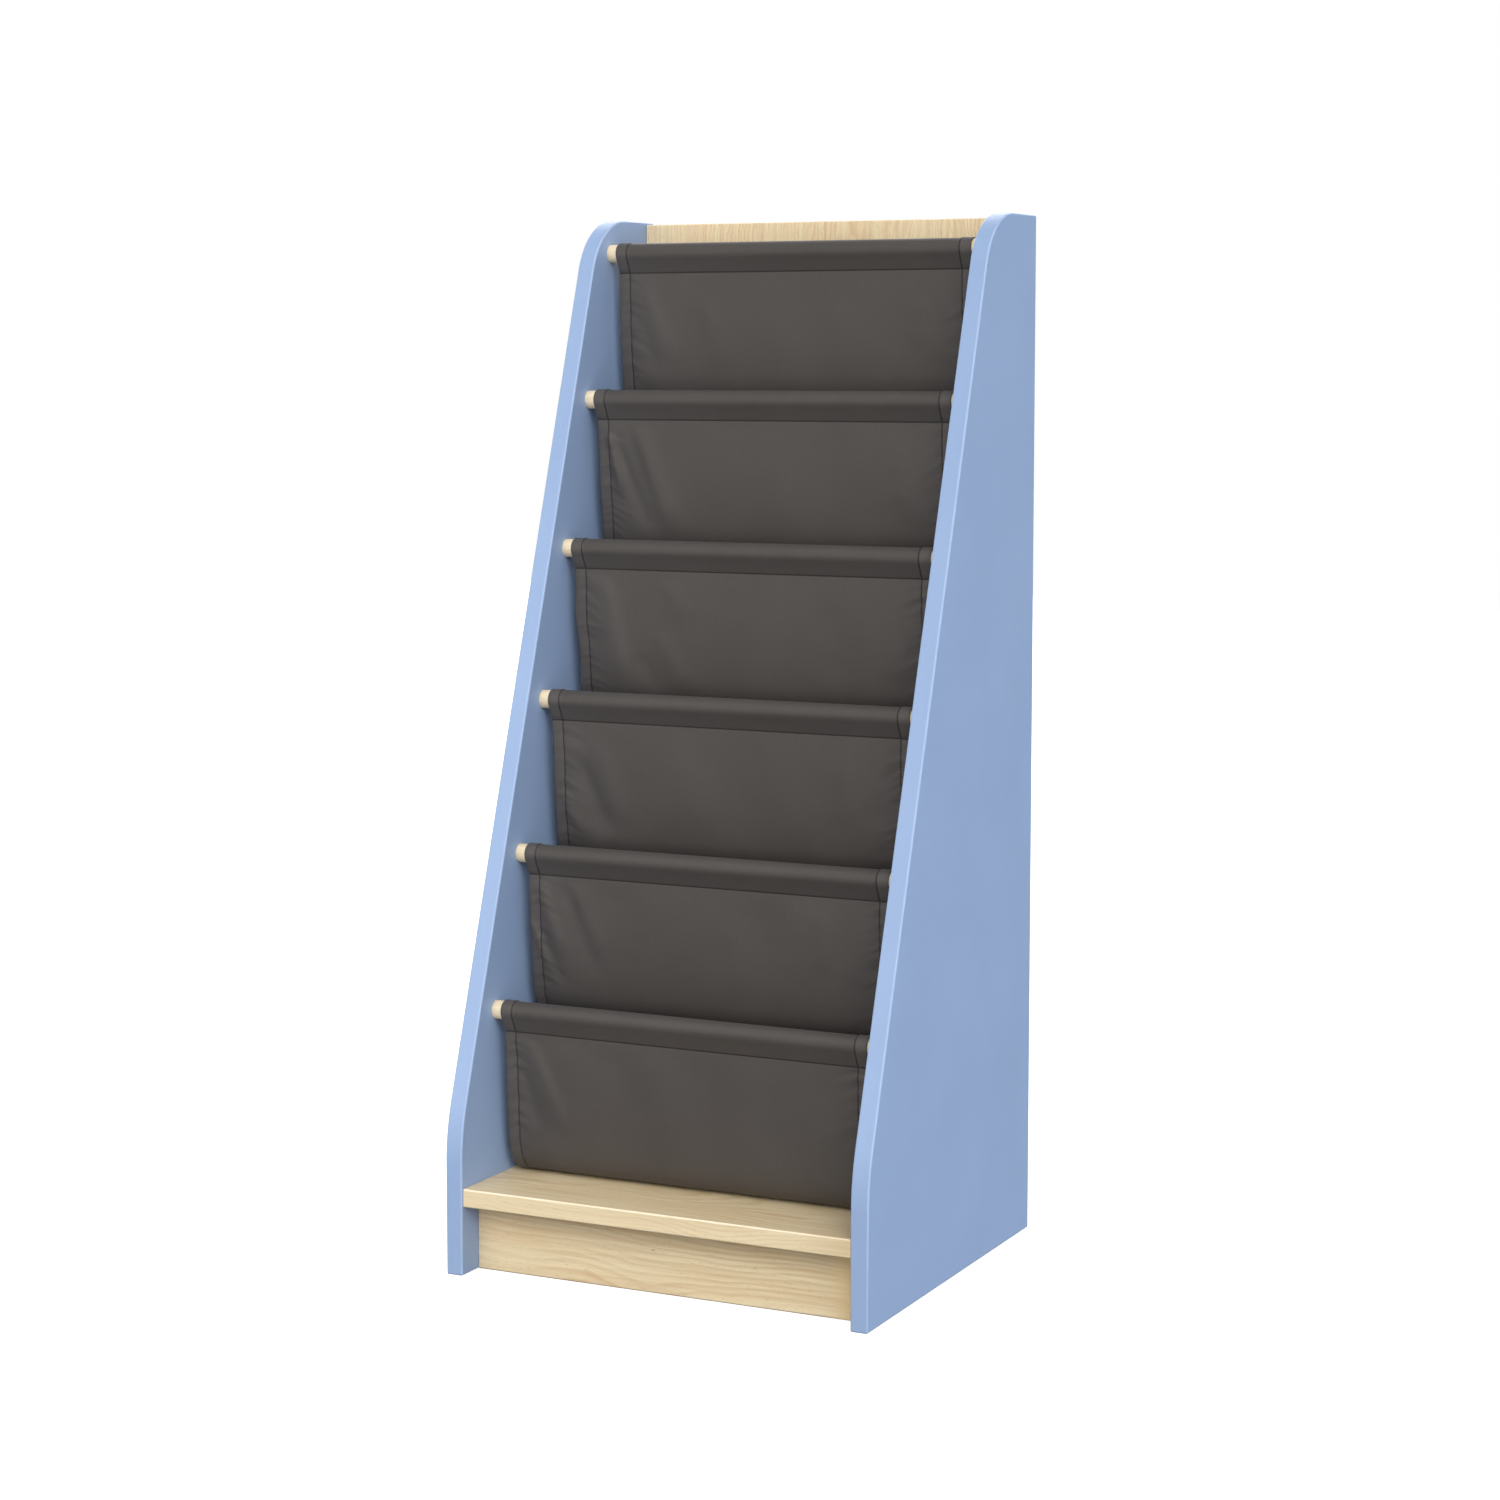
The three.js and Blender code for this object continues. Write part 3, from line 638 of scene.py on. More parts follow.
def cam_lock(name, label, side, y, z, node):
    x = side * (INSIDE - CAM_INSET)
    sides = 40
    t = np.arange(sides) * 2 * math.pi / sides
    rings = [(0.0, CAM_R - 0.5), (0.5, CAM_R), (CAM_H - 0.6, CAM_R), (CAM_H, CAM_R - 0.6)]
    verts = [(r * math.cos(a), r * math.sin(a), h) for h, r in rings for a in t]
    faces = []
    for k in range(len(rings) - 1):
        for i in range(sides):
            j = (i + 1) % sides
            faces.append([k * sides + i, k * sides + j, (k + 1) * sides + j, (k + 1) * sides + i])
    faces.append(list(range(sides))[::-1])
    faces.append(list(range((len(rings) - 1) * sides, len(rings) * sides)))
    verts = np.array(verts)
    mouth = rod(4.2, (-3.6, 0.0, CAM_H - (PANEL / 2 - 0.6)), (12.0, 0.0, CAM_H - (PANEL / 2 - 0.6)), 24)
    cross = [block((-4.25, -0.8, CAM_H - 2.2), (4.25, 0.8, CAM_H + 2.2)), block((-0.8, -4.25, CAM_H - 2.2), (0.8, 4.25, CAM_H + 2.2))]
    arrow = block((4.9, -0.35, CAM_H - 0.35), (6.2, 0.35, CAM_H + 1.0))
    if side < 0:
        verts = verts * (-1.0, -1.0, 1.0)
        mouth = (mouth[0] * (-1.0, -1.0, 1.0), mouth[1])
        arrow = (arrow[0] * (-1.0, -1.0, 1.0), arrow[1])
    if label.startswith("shelf"):
        turn = np.array([[1, 0, 0], [0, -1, 0], [0, 0, -1]], float)  # the open face looks down
        at = np.array([x, y, SHELF_TOP - SHELF_T + 0.6 + CAM_H])
    else:
        turn = np.array([[1, 0, 0], [0, 0, 1], [0, -1, 0]], float)  # the open face looks back
        t_board, back = (KICK_T, FRONT + KICK_SETBACK + KICK_T) if label == "kick" else (BACK_T, REAR)
        at = np.array([x, back - CAM_H + PANEL / 2 - 0.6 - t_board / 2, z])
    put = lambda v: v @ turn.T + at
    ob = new_object(name, put(verts), faces, ZINC)
    face_out(ob)
    cut(ob, [(put(mouth[0]), mouth[1])])
    cut(ob, [(put(c[0]), c[1]) for c in cross + [arrow]])
    weighted(ob, 30.0)
    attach(ob, "root")
    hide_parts(node)


for label, y, z in CAMS:
    for word, side in (("left", -1), ("right", 1)):
        cam_lock(f"cam_{label}_{word}", label, side, y, z, f"cam_lock_{label}_{word}")

# ------------------------------------------------------------------ slings

# The sheet's middle line from the front stitch round the bottom of the pocket to the
# rear stitch, measured from the front dowel's centre.
SHEET = [
    (-1.3, -PINCH), (-1.3, -34), (-0.8, -50), (0.2, -68), (1.6, -86), (3.1, -103),
    (4.7, -120), (6.6, -136), (9.2, -149.5), (13.8, -160.0), (21.8, -167.6), (31.5, -171.1),
    (41, -171.8), (47.5, -171.9), (53.5, -170.0), (58.6, -165.0), (62.4, -157), (64.6, -146),
    (65.8, -130), (66.4, -110), (66.6, -88), (66.4, -68), (66, REAR_DZ - PINCH),
]
LOOP_R = DOWEL_R + 0.12 + CLOTH / 2  # middle of the cloth round a dowel
FLAP = 9.0


def spline(points, step=0.25):
    """A smooth line through the points, sampled about every step."""
    p = np.asarray(points, float)
    p = np.concatenate([[2 * p[0] - p[1]], p, [2 * p[-1] - p[-2]]])
    out = []
    for k in range(1, len(p) - 2):
        a, b, c, d = p[k - 1], p[k], p[k + 1], p[k + 2]
        n = max(2, int(np.linalg.norm(c - b) / step))
        for t in np.arange(n) / n:
            out.append(0.5 * (2 * b + (c - a) * t + (2 * a - 5 * b + 4 * c - d) * t * t + (3 * b - a - 3 * c + d) * t ** 3))
    out.append(p[-2])
    return np.array(out)


def straight(a, b, step=0.25):
    a, b = np.asarray(a, float), np.asarray(b, float)
    n = max(2, int(np.linalg.norm(b - a) / step))
    return a + (b - a) * (np.arange(n + 1) / n)[:, None]


def tangent_point(outside, r, sign):
    """Where a line from a point outside touches the circle round the origin."""
    reach = math.hypot(*outside)
    middle = math.atan2(outside[1], outside[0])
    a = middle + sign * math.acos(r / reach)
    return (r * math.cos(a), r * math.sin(a)), a


def over_dowel(start, end, up_side, hug=0.0):
    """From start below a dowel, up one side, over it and down to end. up_side is +1 for the rear side. hug is
    how much further than the tangent the cloth follows the dowel before it swings down to end."""
    p, a = tangent_point(start, LOOP_R, up_side)
    q, b = tangent_point(end, LOOP_R, -up_side)
    if up_side > 0:
        while b < a:
            b += 2 * math.pi
    else:
        while b > a:
            b -= 2 * math.pi
    b += up_side * hug
    n = int(abs(b - a) * LOOP_R / 0.25)
    bend = np.array([(LOOP_R * math.cos(t), LOOP_R * math.sin(t)) for t in np.linspace(a, b, n)])
    leave = up_side * np.array([-math.sin(b), math.cos(b)])
    last, end = bend[-1], np.asarray(end, float)
    middle = last + 0.5 * np.linalg.norm(end - last) * leave
    t = (np.arange(61) / 60)[:, None]
    down = (1 - t) ** 2 * last + 2 * t * (1 - t) * middle + t * t * end
    return np.concatenate([straight(start, p), bend, down])


def cloth_path():
    """The whole ribbon's middle line, and the arc lengths of its landmarks."""
    front_pinch, rear_pinch = np.array(SHEET[0], float), np.array(SHEET[-1], float)
    shift = np.array([REAR_DY, REAR_DZ])
    gap = CLOTH + 0.12
    flap_top = front_pinch + (gap, 0.0)
    parts = [straight(flap_top + (0.4, -FLAP), flap_top)]
    parts.append(over_dowel(flap_top, front_pinch, 1, hug=0.04))
    parts.append(spline(SHEET))
    rear_flap = rear_pinch + (-gap, 0.0)
    parts.append(over_dowel(rear_pinch - shift, rear_flap - shift, 1) + shift)
    parts.append(straight(rear_flap, rear_flap + (-0.4, -FLAP)))
    line = np.concatenate(parts)
    keep = np.concatenate([[True], np.linalg.norm(np.diff(line, axis=0), axis=1) > 0.02])
    line = line[keep]
    s = np.concatenate([[0], np.cumsum(np.linalg.norm(np.diff(line, axis=0), axis=1))])
    even = np.arange(0, s[-1], 0.25)
    line = np.stack([np.interp(even, s, line[:, k]) for k in (0, 1)], 1)
    # ease the corners at the stitches
    width = 5
    kernel = np.exp(-0.5 * (np.arange(-3 * width, 3 * width + 1) / width) ** 2)
    kernel /= kernel.sum()
    padded = np.concatenate([2 * line[0] - line[1:3 * width + 1][::-1], line, 2 * line[-1] - line[-3 * width - 1:-1][::-1]])
    smooth = np.stack([np.convolve(padded[:, k], kernel, "valid") for k in (0, 1)], 1)
    s = np.concatenate([[0], np.cumsum(np.linalg.norm(np.diff(smooth, axis=0), axis=1))])
    return smooth, s


PATH, PATH_S = cloth_path()
PATH_D = np.gradient(PATH, PATH_S, axis=0)
PATH_D /= np.linalg.norm(PATH_D, axis=1)[:, None]
PATH_N = np.stack([-PATH_D[:, 1], PATH_D[:, 0]], 1)  # turned a quarter from the way it runs


def nearest_s(point, lo, hi):
    pick = (PATH_S >= lo) & (PATH_S <= hi)
    d = np.linalg.norm(PATH - np.asarray(point, float), axis=1)
    d[~pick] = 1e9
    return PATH_S[int(np.argmin(d))]


TOTAL = PATH_S[-1]
S_FRONT = nearest_s(SHEET[0], 55, 130)  # front stitch, on the main sheet
S_REAR = nearest_s(SHEET[-1], TOTAL - 130, TOTAL - 55)  # rear stitch, on the main sheet
# The way the front face of the cloth looks: outwards at the front of the sling.
OUTWARD = 1.0 if PATH_N[int(np.argmin(abs(PATH_S - (S_FRONT + 40))))][0] < 0 else -1.0


def at_s(s):
    """Point, outward normal of the sling's middle line at arc length s."""
    p = np.stack([np.interp(s, PATH_S, PATH[:, k]) for k in (0, 1)], -1)
    n = np.stack([np.interp(s, PATH_S, PATH_N[:, k]) for k in (0, 1)], -1)
    n /= np.linalg.norm(n, axis=-1, keepdims=True)
    return p, OUTWARD * n


# Rows along the ribbon: fine round the dowels and at the stitches, coarser between.
def row_positions():
    turn = np.abs(np.gradient(np.unwrap(np.arctan2(PATH_D[:, 1], PATH_D[:, 0])), PATH_S))
    step = np.clip(0.13 / np.maximum(turn, 1e-3), 1.0, 3.6)
    near = np.minimum.reduce([abs(PATH_S - S_FRONT), abs(PATH_S - S_REAR)])
    step = np.minimum(step, 0.9 + 0.16 * near)
    shows = (PATH_S > S_FRONT - 4) & (PATH_S < S_FRONT + 135)
    step = np.where(shows, np.minimum(step, 2.0), step)
    width = 12
    padded = np.concatenate([[step[0]] * width, step, [step[-1]] * width])
    step = np.array([padded[k:k + 2 * width + 1].min() for k in range(len(step))])
    density = np.concatenate([[0], np.cumsum(0.5 * (1 / step[1:] + 1 / step[:-1]) * np.diff(PATH_S))])
    n = int(round(density[-1]))
    return np.interp(np.linspace(0, density[-1], n + 1), density, PATH_S)


ROWS = row_positions()
HEM = 12.8  # from the side edge to the hem's stitches
STITCH = 3.3
CANVAS = canvas()


def column_positions():
    near = [0.0, 0.5, 1.6, 3.2, 5.0, 6.8, 8.6, 10.0, 10.8, 11.3, 11.6, 11.9, 12.4, 13.2, 14.4, 16.0, 18.0, 20.2, 22.6, 25.0, 27.5, 30.0]
    inner = np.concatenate([np.arange(32.5, 91.0, 2.5), np.linspace(90.0, 2 * SLING_HALF - 30.0, 74)[1:-1]])
    return np.array(near + list(inner) + [2 * SLING_HALF - d for d in near[::-1]]) - SLING_HALF


COLUMNS = column_positions()


def smoothstep(x, lo, hi):
    t = np.clip((x - lo) / (hi - lo), 0, 1)
    return t * t * (3 - 2 * t)


def crease(U, W, points, width, height):
    """A soft ridge (height > 0) or valley along a bent line in the sheet, dying out at both ends. width is its
    half-width on the left and on the right of the line, which runs downwards."""
    points = np.asarray(points, float)
    seg = np.diff(points, axis=0)
    lengths = np.linalg.norm(seg, axis=1)
    total = lengths.sum()
    best = np.full(U.shape, 1e9)
    along, left = np.zeros(U.shape), np.zeros(U.shape)
    start = 0.0
    for a, d, l in zip(points[:-1], seg, lengths):
        t = ((U - a[0]) * d[0] + (W - a[1]) * d[1]) / (l * l)
        tc = np.clip(t, 0, 1)
        dist = np.hypot(U - a[0] - tc * d[0], W - a[1] - tc * d[1])
        side = ((W - a[1]) * d[0] - (U - a[0]) * d[1]) / l
        closer = dist < best
        best = np.where(closer, dist, best)
        along = np.where(closer, (start + tc * l) / total, along)
        left = np.where(closer, side, left)
        start += l
    ends = smoothstep(along, 0.0, 0.30) * smoothstep(1 - along, 0.0, 0.30)
    spread = np.where(left > 0, width[0], width[1]) * (0.75 + 0.5 * along)
    return height * ends * np.exp(-0.5 * (best / spread) ** 2)


# Folds seen on each sling: lines of (mm from the left edge, mm below the front stitch),
# half-widths and height in mm.
FOLDS = [
    [([(25, -2), (31, 16), (41, 42), (52, 70), (62, 104)], (8.5, 6.5), 0.85), ([(24, 44), (34, 78), (42, 114)], (7, 6), -0.55),
     ([(98, 20), (112, 62), (126, 108)], (10, 10), 0.5), ([(250, 20), (262, 70), (268, 118)], (16, 16), 0.4),
     ([(356, 24), (352, 52), (346, 84)], (7, 7), 0.5), ([(392, 30), (380, 64), (372, 104)], (9, 9), 0.5)],
    [([(11, 2), (16, 26), (22, 50), (29, 86)], (4.2, 3.8), 1.75), ([(18, 8), (27, 38), (38, 64), (54, 106), (63, 130)], (5.0, 5.0), -0.80),
     ([(41, -8), (53, 24), (66, 58), (79, 100), (89, 134)], (6.5, 9), 1.35),
     ([(200, 24), (214, 76), (220, 124)], (15, 15), 0.4), ([(350, 16), (352, 60), (348, 96)], (8, 8), 0.5),
     ([(388, 20), (376, 60), (362, 112)], (8, 8), 0.6)],
    [([(22, -6), (33, 12), (41, 36), (46, 66), (52, 108), (55, 134)], (12, 6.5), 1.35),
     ([(104, 4), (118, 28), (136, 54)], (8, 8), 0.5), ([(92, 58), (112, 94), (134, 136)], (9, 9), 0.7),
     ([(74, 84), (86, 112), (96, 138)], (7, 7), -0.6),
     ([(290, 20), (300, 70), (306, 120)], (15, 15), -0.4), ([(390, 34), (376, 76), (366, 112)], (8, 8), 0.6)],
    [([(24, 30), (36, 58), (48, 86), (61, 126)], (10, 8), -1.65), ([(8, 70), (20, 100), (34, 130)], (5, 6), 0.8),
     ([(46, 6), (58, 40), (72, 80), (82, 116)], (9, 9), 0.6), ([(150, 16), (162, 60), (170, 116)], (14, 14), 0.4),
     ([(338, 16), (340, 56), (334, 96)], (7, 7), 0.5), ([(394, 24), (382, 58), (366, 100)], (8, 8), -0.5)],
    [([(12, 54), (20, 78), (30, 100), (42, 126)], (4.5, 4.5), -0.6), ([(12, 0), (19, 28), (30, 58), (40, 92)], (6, 5.5), 1.25),
     ([(-2, 40), (11, 74), (27, 110)], (4, 4), 1.1),
     ([(34, -6), (45, 18), (57, 46), (68, 74), (82, 112)], (8, 6), -0.85), ([(50, 0), (61, 26), (72, 54), (84, 90)], (8, 10), 0.6),
     ([(230, 18), (238, 70), (244, 122)], (15, 15), 0.4), ([(334, 10), (338, 50), (332, 84)], (7, 7), 0.4),
     ([(390, 12), (378, 52), (370, 96)], (8, 8), 0.6)],
    [([(24, -2), (36, 26), (47, 50), (58, 76), (70, 108)], (9.5, 6.5), 1.4), ([(16, 34), (27, 66), (37, 106)], (6.5, 6.5), -0.9),
     ([(110, 20), (128, 64), (150, 110)], (11, 11), 0.5), ([(300, 16), (312, 66), (318, 118)], (15, 15), -0.35),
     ([(392, 20), (378, 60), (364, 96)], (8, 8), 0.6)],
]


# How far each sling's left edge is drawn in, in mm, at these distances below the front stitch.
DRAWN_AT = (0, 8, 20, 32, 44, 56, 68, 80, 92, 104, 116, 128, 140, 175)
DRAWN = [
    (0.0, 0.1, 0.3, 0.4, 0.1, -0.2, -0.2, -0.3, -0.1, 0.3, 0.5, 0.5, 0.3, 0.0),
    (0.6, 1.0, 1.3, 1.5, 1.4, 1.6, 1.8, 1.8, 2.0, 2.1, 1.8, 1.3, 0.8, 0.0),
    (0.5, 0.8, 0.8, 0.8, 0.4, -0.1, 0.8, 1.9, 2.4, 2.0, 1.6, 1.2, 0.7, 0.0),
    (0.2, 0.4, 1.2, 2.5, 2.7, 2.0, 1.6, 1.5, 1.4, 1.5, 1.5, 1.1, 0.6, 0.0),
    (0.4, 0.7, 1.1, 1.5, 1.0, 0.9, 0.8, 0.8, 0.7, 0.7, 0.8, 0.6, 0.3, 0.0),
    (-0.3, -0.2, 0.5, 0.4, 0.5, 0.6, 0.4, 0.2, -0.4, -0.8, -1.0, -0.7, 0.3, 0.0),
]


def waves(rng, U, W):
    """Soft upright waves across a sheet, different on each sling."""
    out = np.zeros(U.shape)
    for _ in range(7):
        length = rng.uniform(70, 190)
        lean = rng.uniform(-0.35, 0.35)
        phase = rng.uniform(0, 2 * math.pi)
        centre, spread = rng.uniform(30, 120), rng.uniform(40, 90)
        out += rng.uniform(0.10, 0.26) * np.sin(2 * math.pi * (U + lean * W) / length + phase) * np.exp(-0.5 * ((W - centre) / spread) ** 2)
    return out


def puckers(rng, U, W):
    """Short slanting ripples where the side hems' stitches gather the cloth, which run on across the hem."""
    out = np.zeros(U.shape)
    for side in (0, 1):
        d = U if side == 0 else 2 * SLING_HALF - U
        place = -14.0
        while place < 330.0:
            place += rng.uniform(3.5, 9.5)
            reach, fall = rng.uniform(6.0, 17.0), rng.uniform(0.25, 0.75)
            wide, size = rng.uniform(1.3, 2.6), rng.uniform(0.10, 0.62) ** 1.3
            inward = np.maximum(d - HEM, 0.0)
            line = W - place - fall * inward + 0.22 * np.minimum(d - HEM, 0.0)
            fade = np.exp(-0.5 * (inward / reach) ** 2) * (1 - 0.4 * smoothstep(HEM - d, 2.0, 11.0))
            out += rng.choice((1.0, 1.0, -1.0)) * size * fade * np.exp(-0.5 * (line / wide) ** 2)
    return out


def sling_surface(index):
    """Points of the middle surface (rows x columns), its outward normals and the extra hem thickness."""
    rng = np.random.default_rng(4100 + index)
    s = ROWS[:, None] + 0 * COLUMNS[None, :]
    x = 0 * ROWS[:, None] + COLUMNS[None, :]
    u = x + SLING_HALF
    w = s - S_FRONT  # below the front stitch
    back = S_REAR - s  # before the rear stitch
    p, n = at_s(ROWS)
    on_sheet = smoothstep(w, 0.5, 26.0) * smoothstep(back, 0.5, 40.0)
    on_fold = smoothstep(w, 0.5, 15.0) * smoothstep(back, 0.5, 40.0)
    move = np.zeros(u.shape)
    for points, width, height in FOLDS[index]:
        move += crease(u, w, points, width, height)
    low = smoothstep(w, 105.0, 165.0)
    move = 1.9 * move * on_fold * (1 - 0.6 * low)
    move += 1.5 * waves(rng, u, w) * on_sheet * (1 - 0.35 * low)
    move += 0.55 * waves(rng, u, back) * on_sheet * smoothstep(w, 200.0, 250.0)
    ripple = puckers(rng, u, w)
    move += 1.6 * ripple * (smoothstep(w, 1.0, 8.0) * smoothstep(back, 2.0, 30.0) * (1 - 0.5 * low))
    # the cloth bellies out a little between its hems, and its free edges curl forward
    across = np.clip(1 - (x / SLING_HALF) ** 2, 0, 1)
    move += 0.9 * across * np.sin(math.pi * np.clip(w / 150.0, 0, 1)) ** 2
    edge_d = np.minimum(u, 2 * SLING_HALF - u)
    curl = np.exp(-edge_d / 9.0)
    sway = np.sin(2 * math.pi * w / rng.uniform(70, 100) + rng.uniform(0, 6.28)) * 0.22 + 0.25 * np.sin(math.pi * np.clip(w / 110.0, 0, 1)) ** 2
    move += curl * sway * on_sheet
    # tiny pull-ins along the sleeve's stitch line
    near_stitch = np.exp(-0.5 * ((w - 5.0) / 5.0) ** 2) * (w > 0)
    gather = sum(rng.uniform(0.3, 1.0) * np.sin(2 * math.pi * u / l + rng.uniform(0, 6.28)) for l in (13.0, 19.0, 31.0)) / 3
    move += 0.10 * gather * near_stitch
    sleeve = np.exp(-0.5 * ((w + 7.0) / 5.0) ** 2)
    move += 0.10 * gather * sleeve
    stitch_groove = np.exp(-0.5 * (w / 0.7) ** 2) + np.exp(-0.5 * ((s - S_REAR) / 0.7) ** 2)
    hem_groove = np.exp(-0.5 * ((edge_d - HEM) / 0.5) ** 2)
    hem = 1 - smoothstep(edge_d, HEM + 0.3, HEM + 1.1)
    outwards = smoothstep(-w, 1.0, 5.0) + smoothstep(-back, 1.0, 5.0)  # round the dowels the hem can only stand outwards
    # sideways: the side edges wander by a fraction of a millimetre
    wander = 0.30 * np.sin(2 * math.pi * w / 97.0 + rng.uniform(0, 6.28)) + 0.12 * np.sin(2 * math.pi * w / 41.0 + rng.uniform(0, 6.28))
    drawn = np.interp(w, DRAWN_AT, DRAWN[index]) * np.where(x < 0, 1.0, 0.4)  # pulled in between the sleeve and the bottom
    sidewise = (wander * curl * on_sheet + drawn * np.exp(-edge_d / 40.0) * smoothstep(w, 0.0, 12.0)) * np.sign(-x)
    P = np.empty(u.shape + (3,))
    N = np.empty_like(P)
    P[..., 0] = x + sidewise
    P[..., 1] = p[:, 0][:, None] + n[:, 0][:, None] * move
    P[..., 2] = p[:, 1][:, None] + n[:, 1][:, None] * move
    N[..., 0] = 0
    N[..., 1] = n[:, 0][:, None]
    N[..., 2] = n[:, 1][:, None]
    front = CLOTH / 2 + 0.85 * CLOTH * hem * outwards + 0.12 * hem * (1 - outwards) - 0.36 * hem_groove - 0.30 * stitch_groove
    rear = CLOTH / 2 + 0.75 * CLOTH * hem * (1 - np.clip(outwards, 0, 1)) - 0.10 * hem_groove * (1 - np.clip(outwards, 0, 1))
    return P, N, front, np.maximum(rear, 0.3), s, u


def rounded_ends(thick):
    """Thins the first and last rows and columns, so that cut edges look folded."""
    out = thick.copy()
    for k, f in ((0, 0.55), (1, 0.9)):
        for edge in (np.s_[:, k], np.s_[:, -1 - k], np.s_[k, :], np.s_[-1 - k, :]):
            out[edge] = np.minimum(out[edge], thick[edge] * f)
    return out


def stitch_shape():
    """A short thread: a closed six-sided bead along its own first axis, 1 long and 1 thick."""
    rings = [(-0.5, 0.0), (-0.40, 0.72), (-0.15, 1.0), (0.15, 1.0), (0.40, 0.72), (0.5, 0.0)]
    verts, faces = [(rings[0][0], 0.0, 0.0)], []
    for x, r in rings[1:-1]:
        for k in range(6):
            a = math.pi / 3 * k
            verts.append((x, r * math.cos(a), r * math.sin(a)))
    verts.append((rings[-1][0], 0.0, 0.0))
    for k in range(6):
        faces.append([0, 1 + (k + 1) % 6, 1 + k])
    for ring in range(3):
        a, b = 1 + 6 * ring, 7 + 6 * ring
        for k in range(6):
            faces.append([a + k, a + (k + 1) % 6, b + (k + 1) % 6, b + k])
    last = len(verts) - 1
    for k in range(6):
        faces.append([last, 19 + k, 19 + (k + 1) % 6])
    return np.array(verts), faces


BEAD, BEAD_FACES = stitch_shape()


class Surface:
    """Finds points of a sling's outer or inner skin by arc length and distance across."""

    def __init__(self, skin, s, x):
        self.skin, self.s, self.x = skin, s, x

    def __call__(self, s, x):
        i = np.clip(np.searchsorted(self.s, s) - 1, 0, len(self.s) - 2)
        j = np.clip(np.searchsorted(self.x, x) - 1, 0, len(self.x) - 2)
        a = ((s - self.s[i]) / (self.s[i + 1] - self.s[i]))[:, None]
        b = ((x - self.x[j]) / (self.x[j + 1] - self.x[j]))[:, None]
        q = self.skin
        return (1 - a) * ((1 - b) * q[i, j] + b * q[i, j + 1]) + a * ((1 - b) * q[i + 1, j] + b * q[i + 1, j + 1])


def stitches(surface, s, x, normal_sign, pitch=STITCH, length=2.5, thick=0.48):
    """Threads along a line of stations (s, x) on a skin."""
    line = surface(s, x)
    d = np.concatenate([[0], np.cumsum(np.linalg.norm(np.diff(line, axis=0), axis=1))])
    count = int(d[-1] / pitch)
    mid = (np.arange(count) + 0.5) * d[-1] / count
    parts = []
    for m in mid:
        at = lambda t: np.array([np.interp(t, d, line[:, k]) for k in range(3)])
        a, b = at(m - length / 2), at(m + length / 2)
        centre = 0.5 * (a + b) * 0.5 + at(m) * 0.5
        e1 = (b - a) / np.linalg.norm(b - a)
        sm, xm = np.interp(m, d, s), np.interp(m, d, x)
        du = surface(np.array([sm]), np.array([xm + 0.8]))[0] - surface(np.array([sm]), np.array([xm - 0.8]))[0]
        dv = surface(np.array([sm + 0.8]), np.array([xm]))[0] - surface(np.array([sm - 0.8]), np.array([xm]))[0]
        e3 = np.cross(du, dv)
        e3 = normal_sign * e3 / np.linalg.norm(e3)
        e2 = np.cross(e3, e1)
        e2 /= np.linalg.norm(e2)
        e3 = np.cross(e1, e2)
        v = centre + BEAD[:, :1] * length * e1 + BEAD[:, 1:2] * thick * e2 + (BEAD[:, 2:3] * thick * 0.75 + 0.10) * e3
        parts.append((v, BEAD_FACES))
    return parts


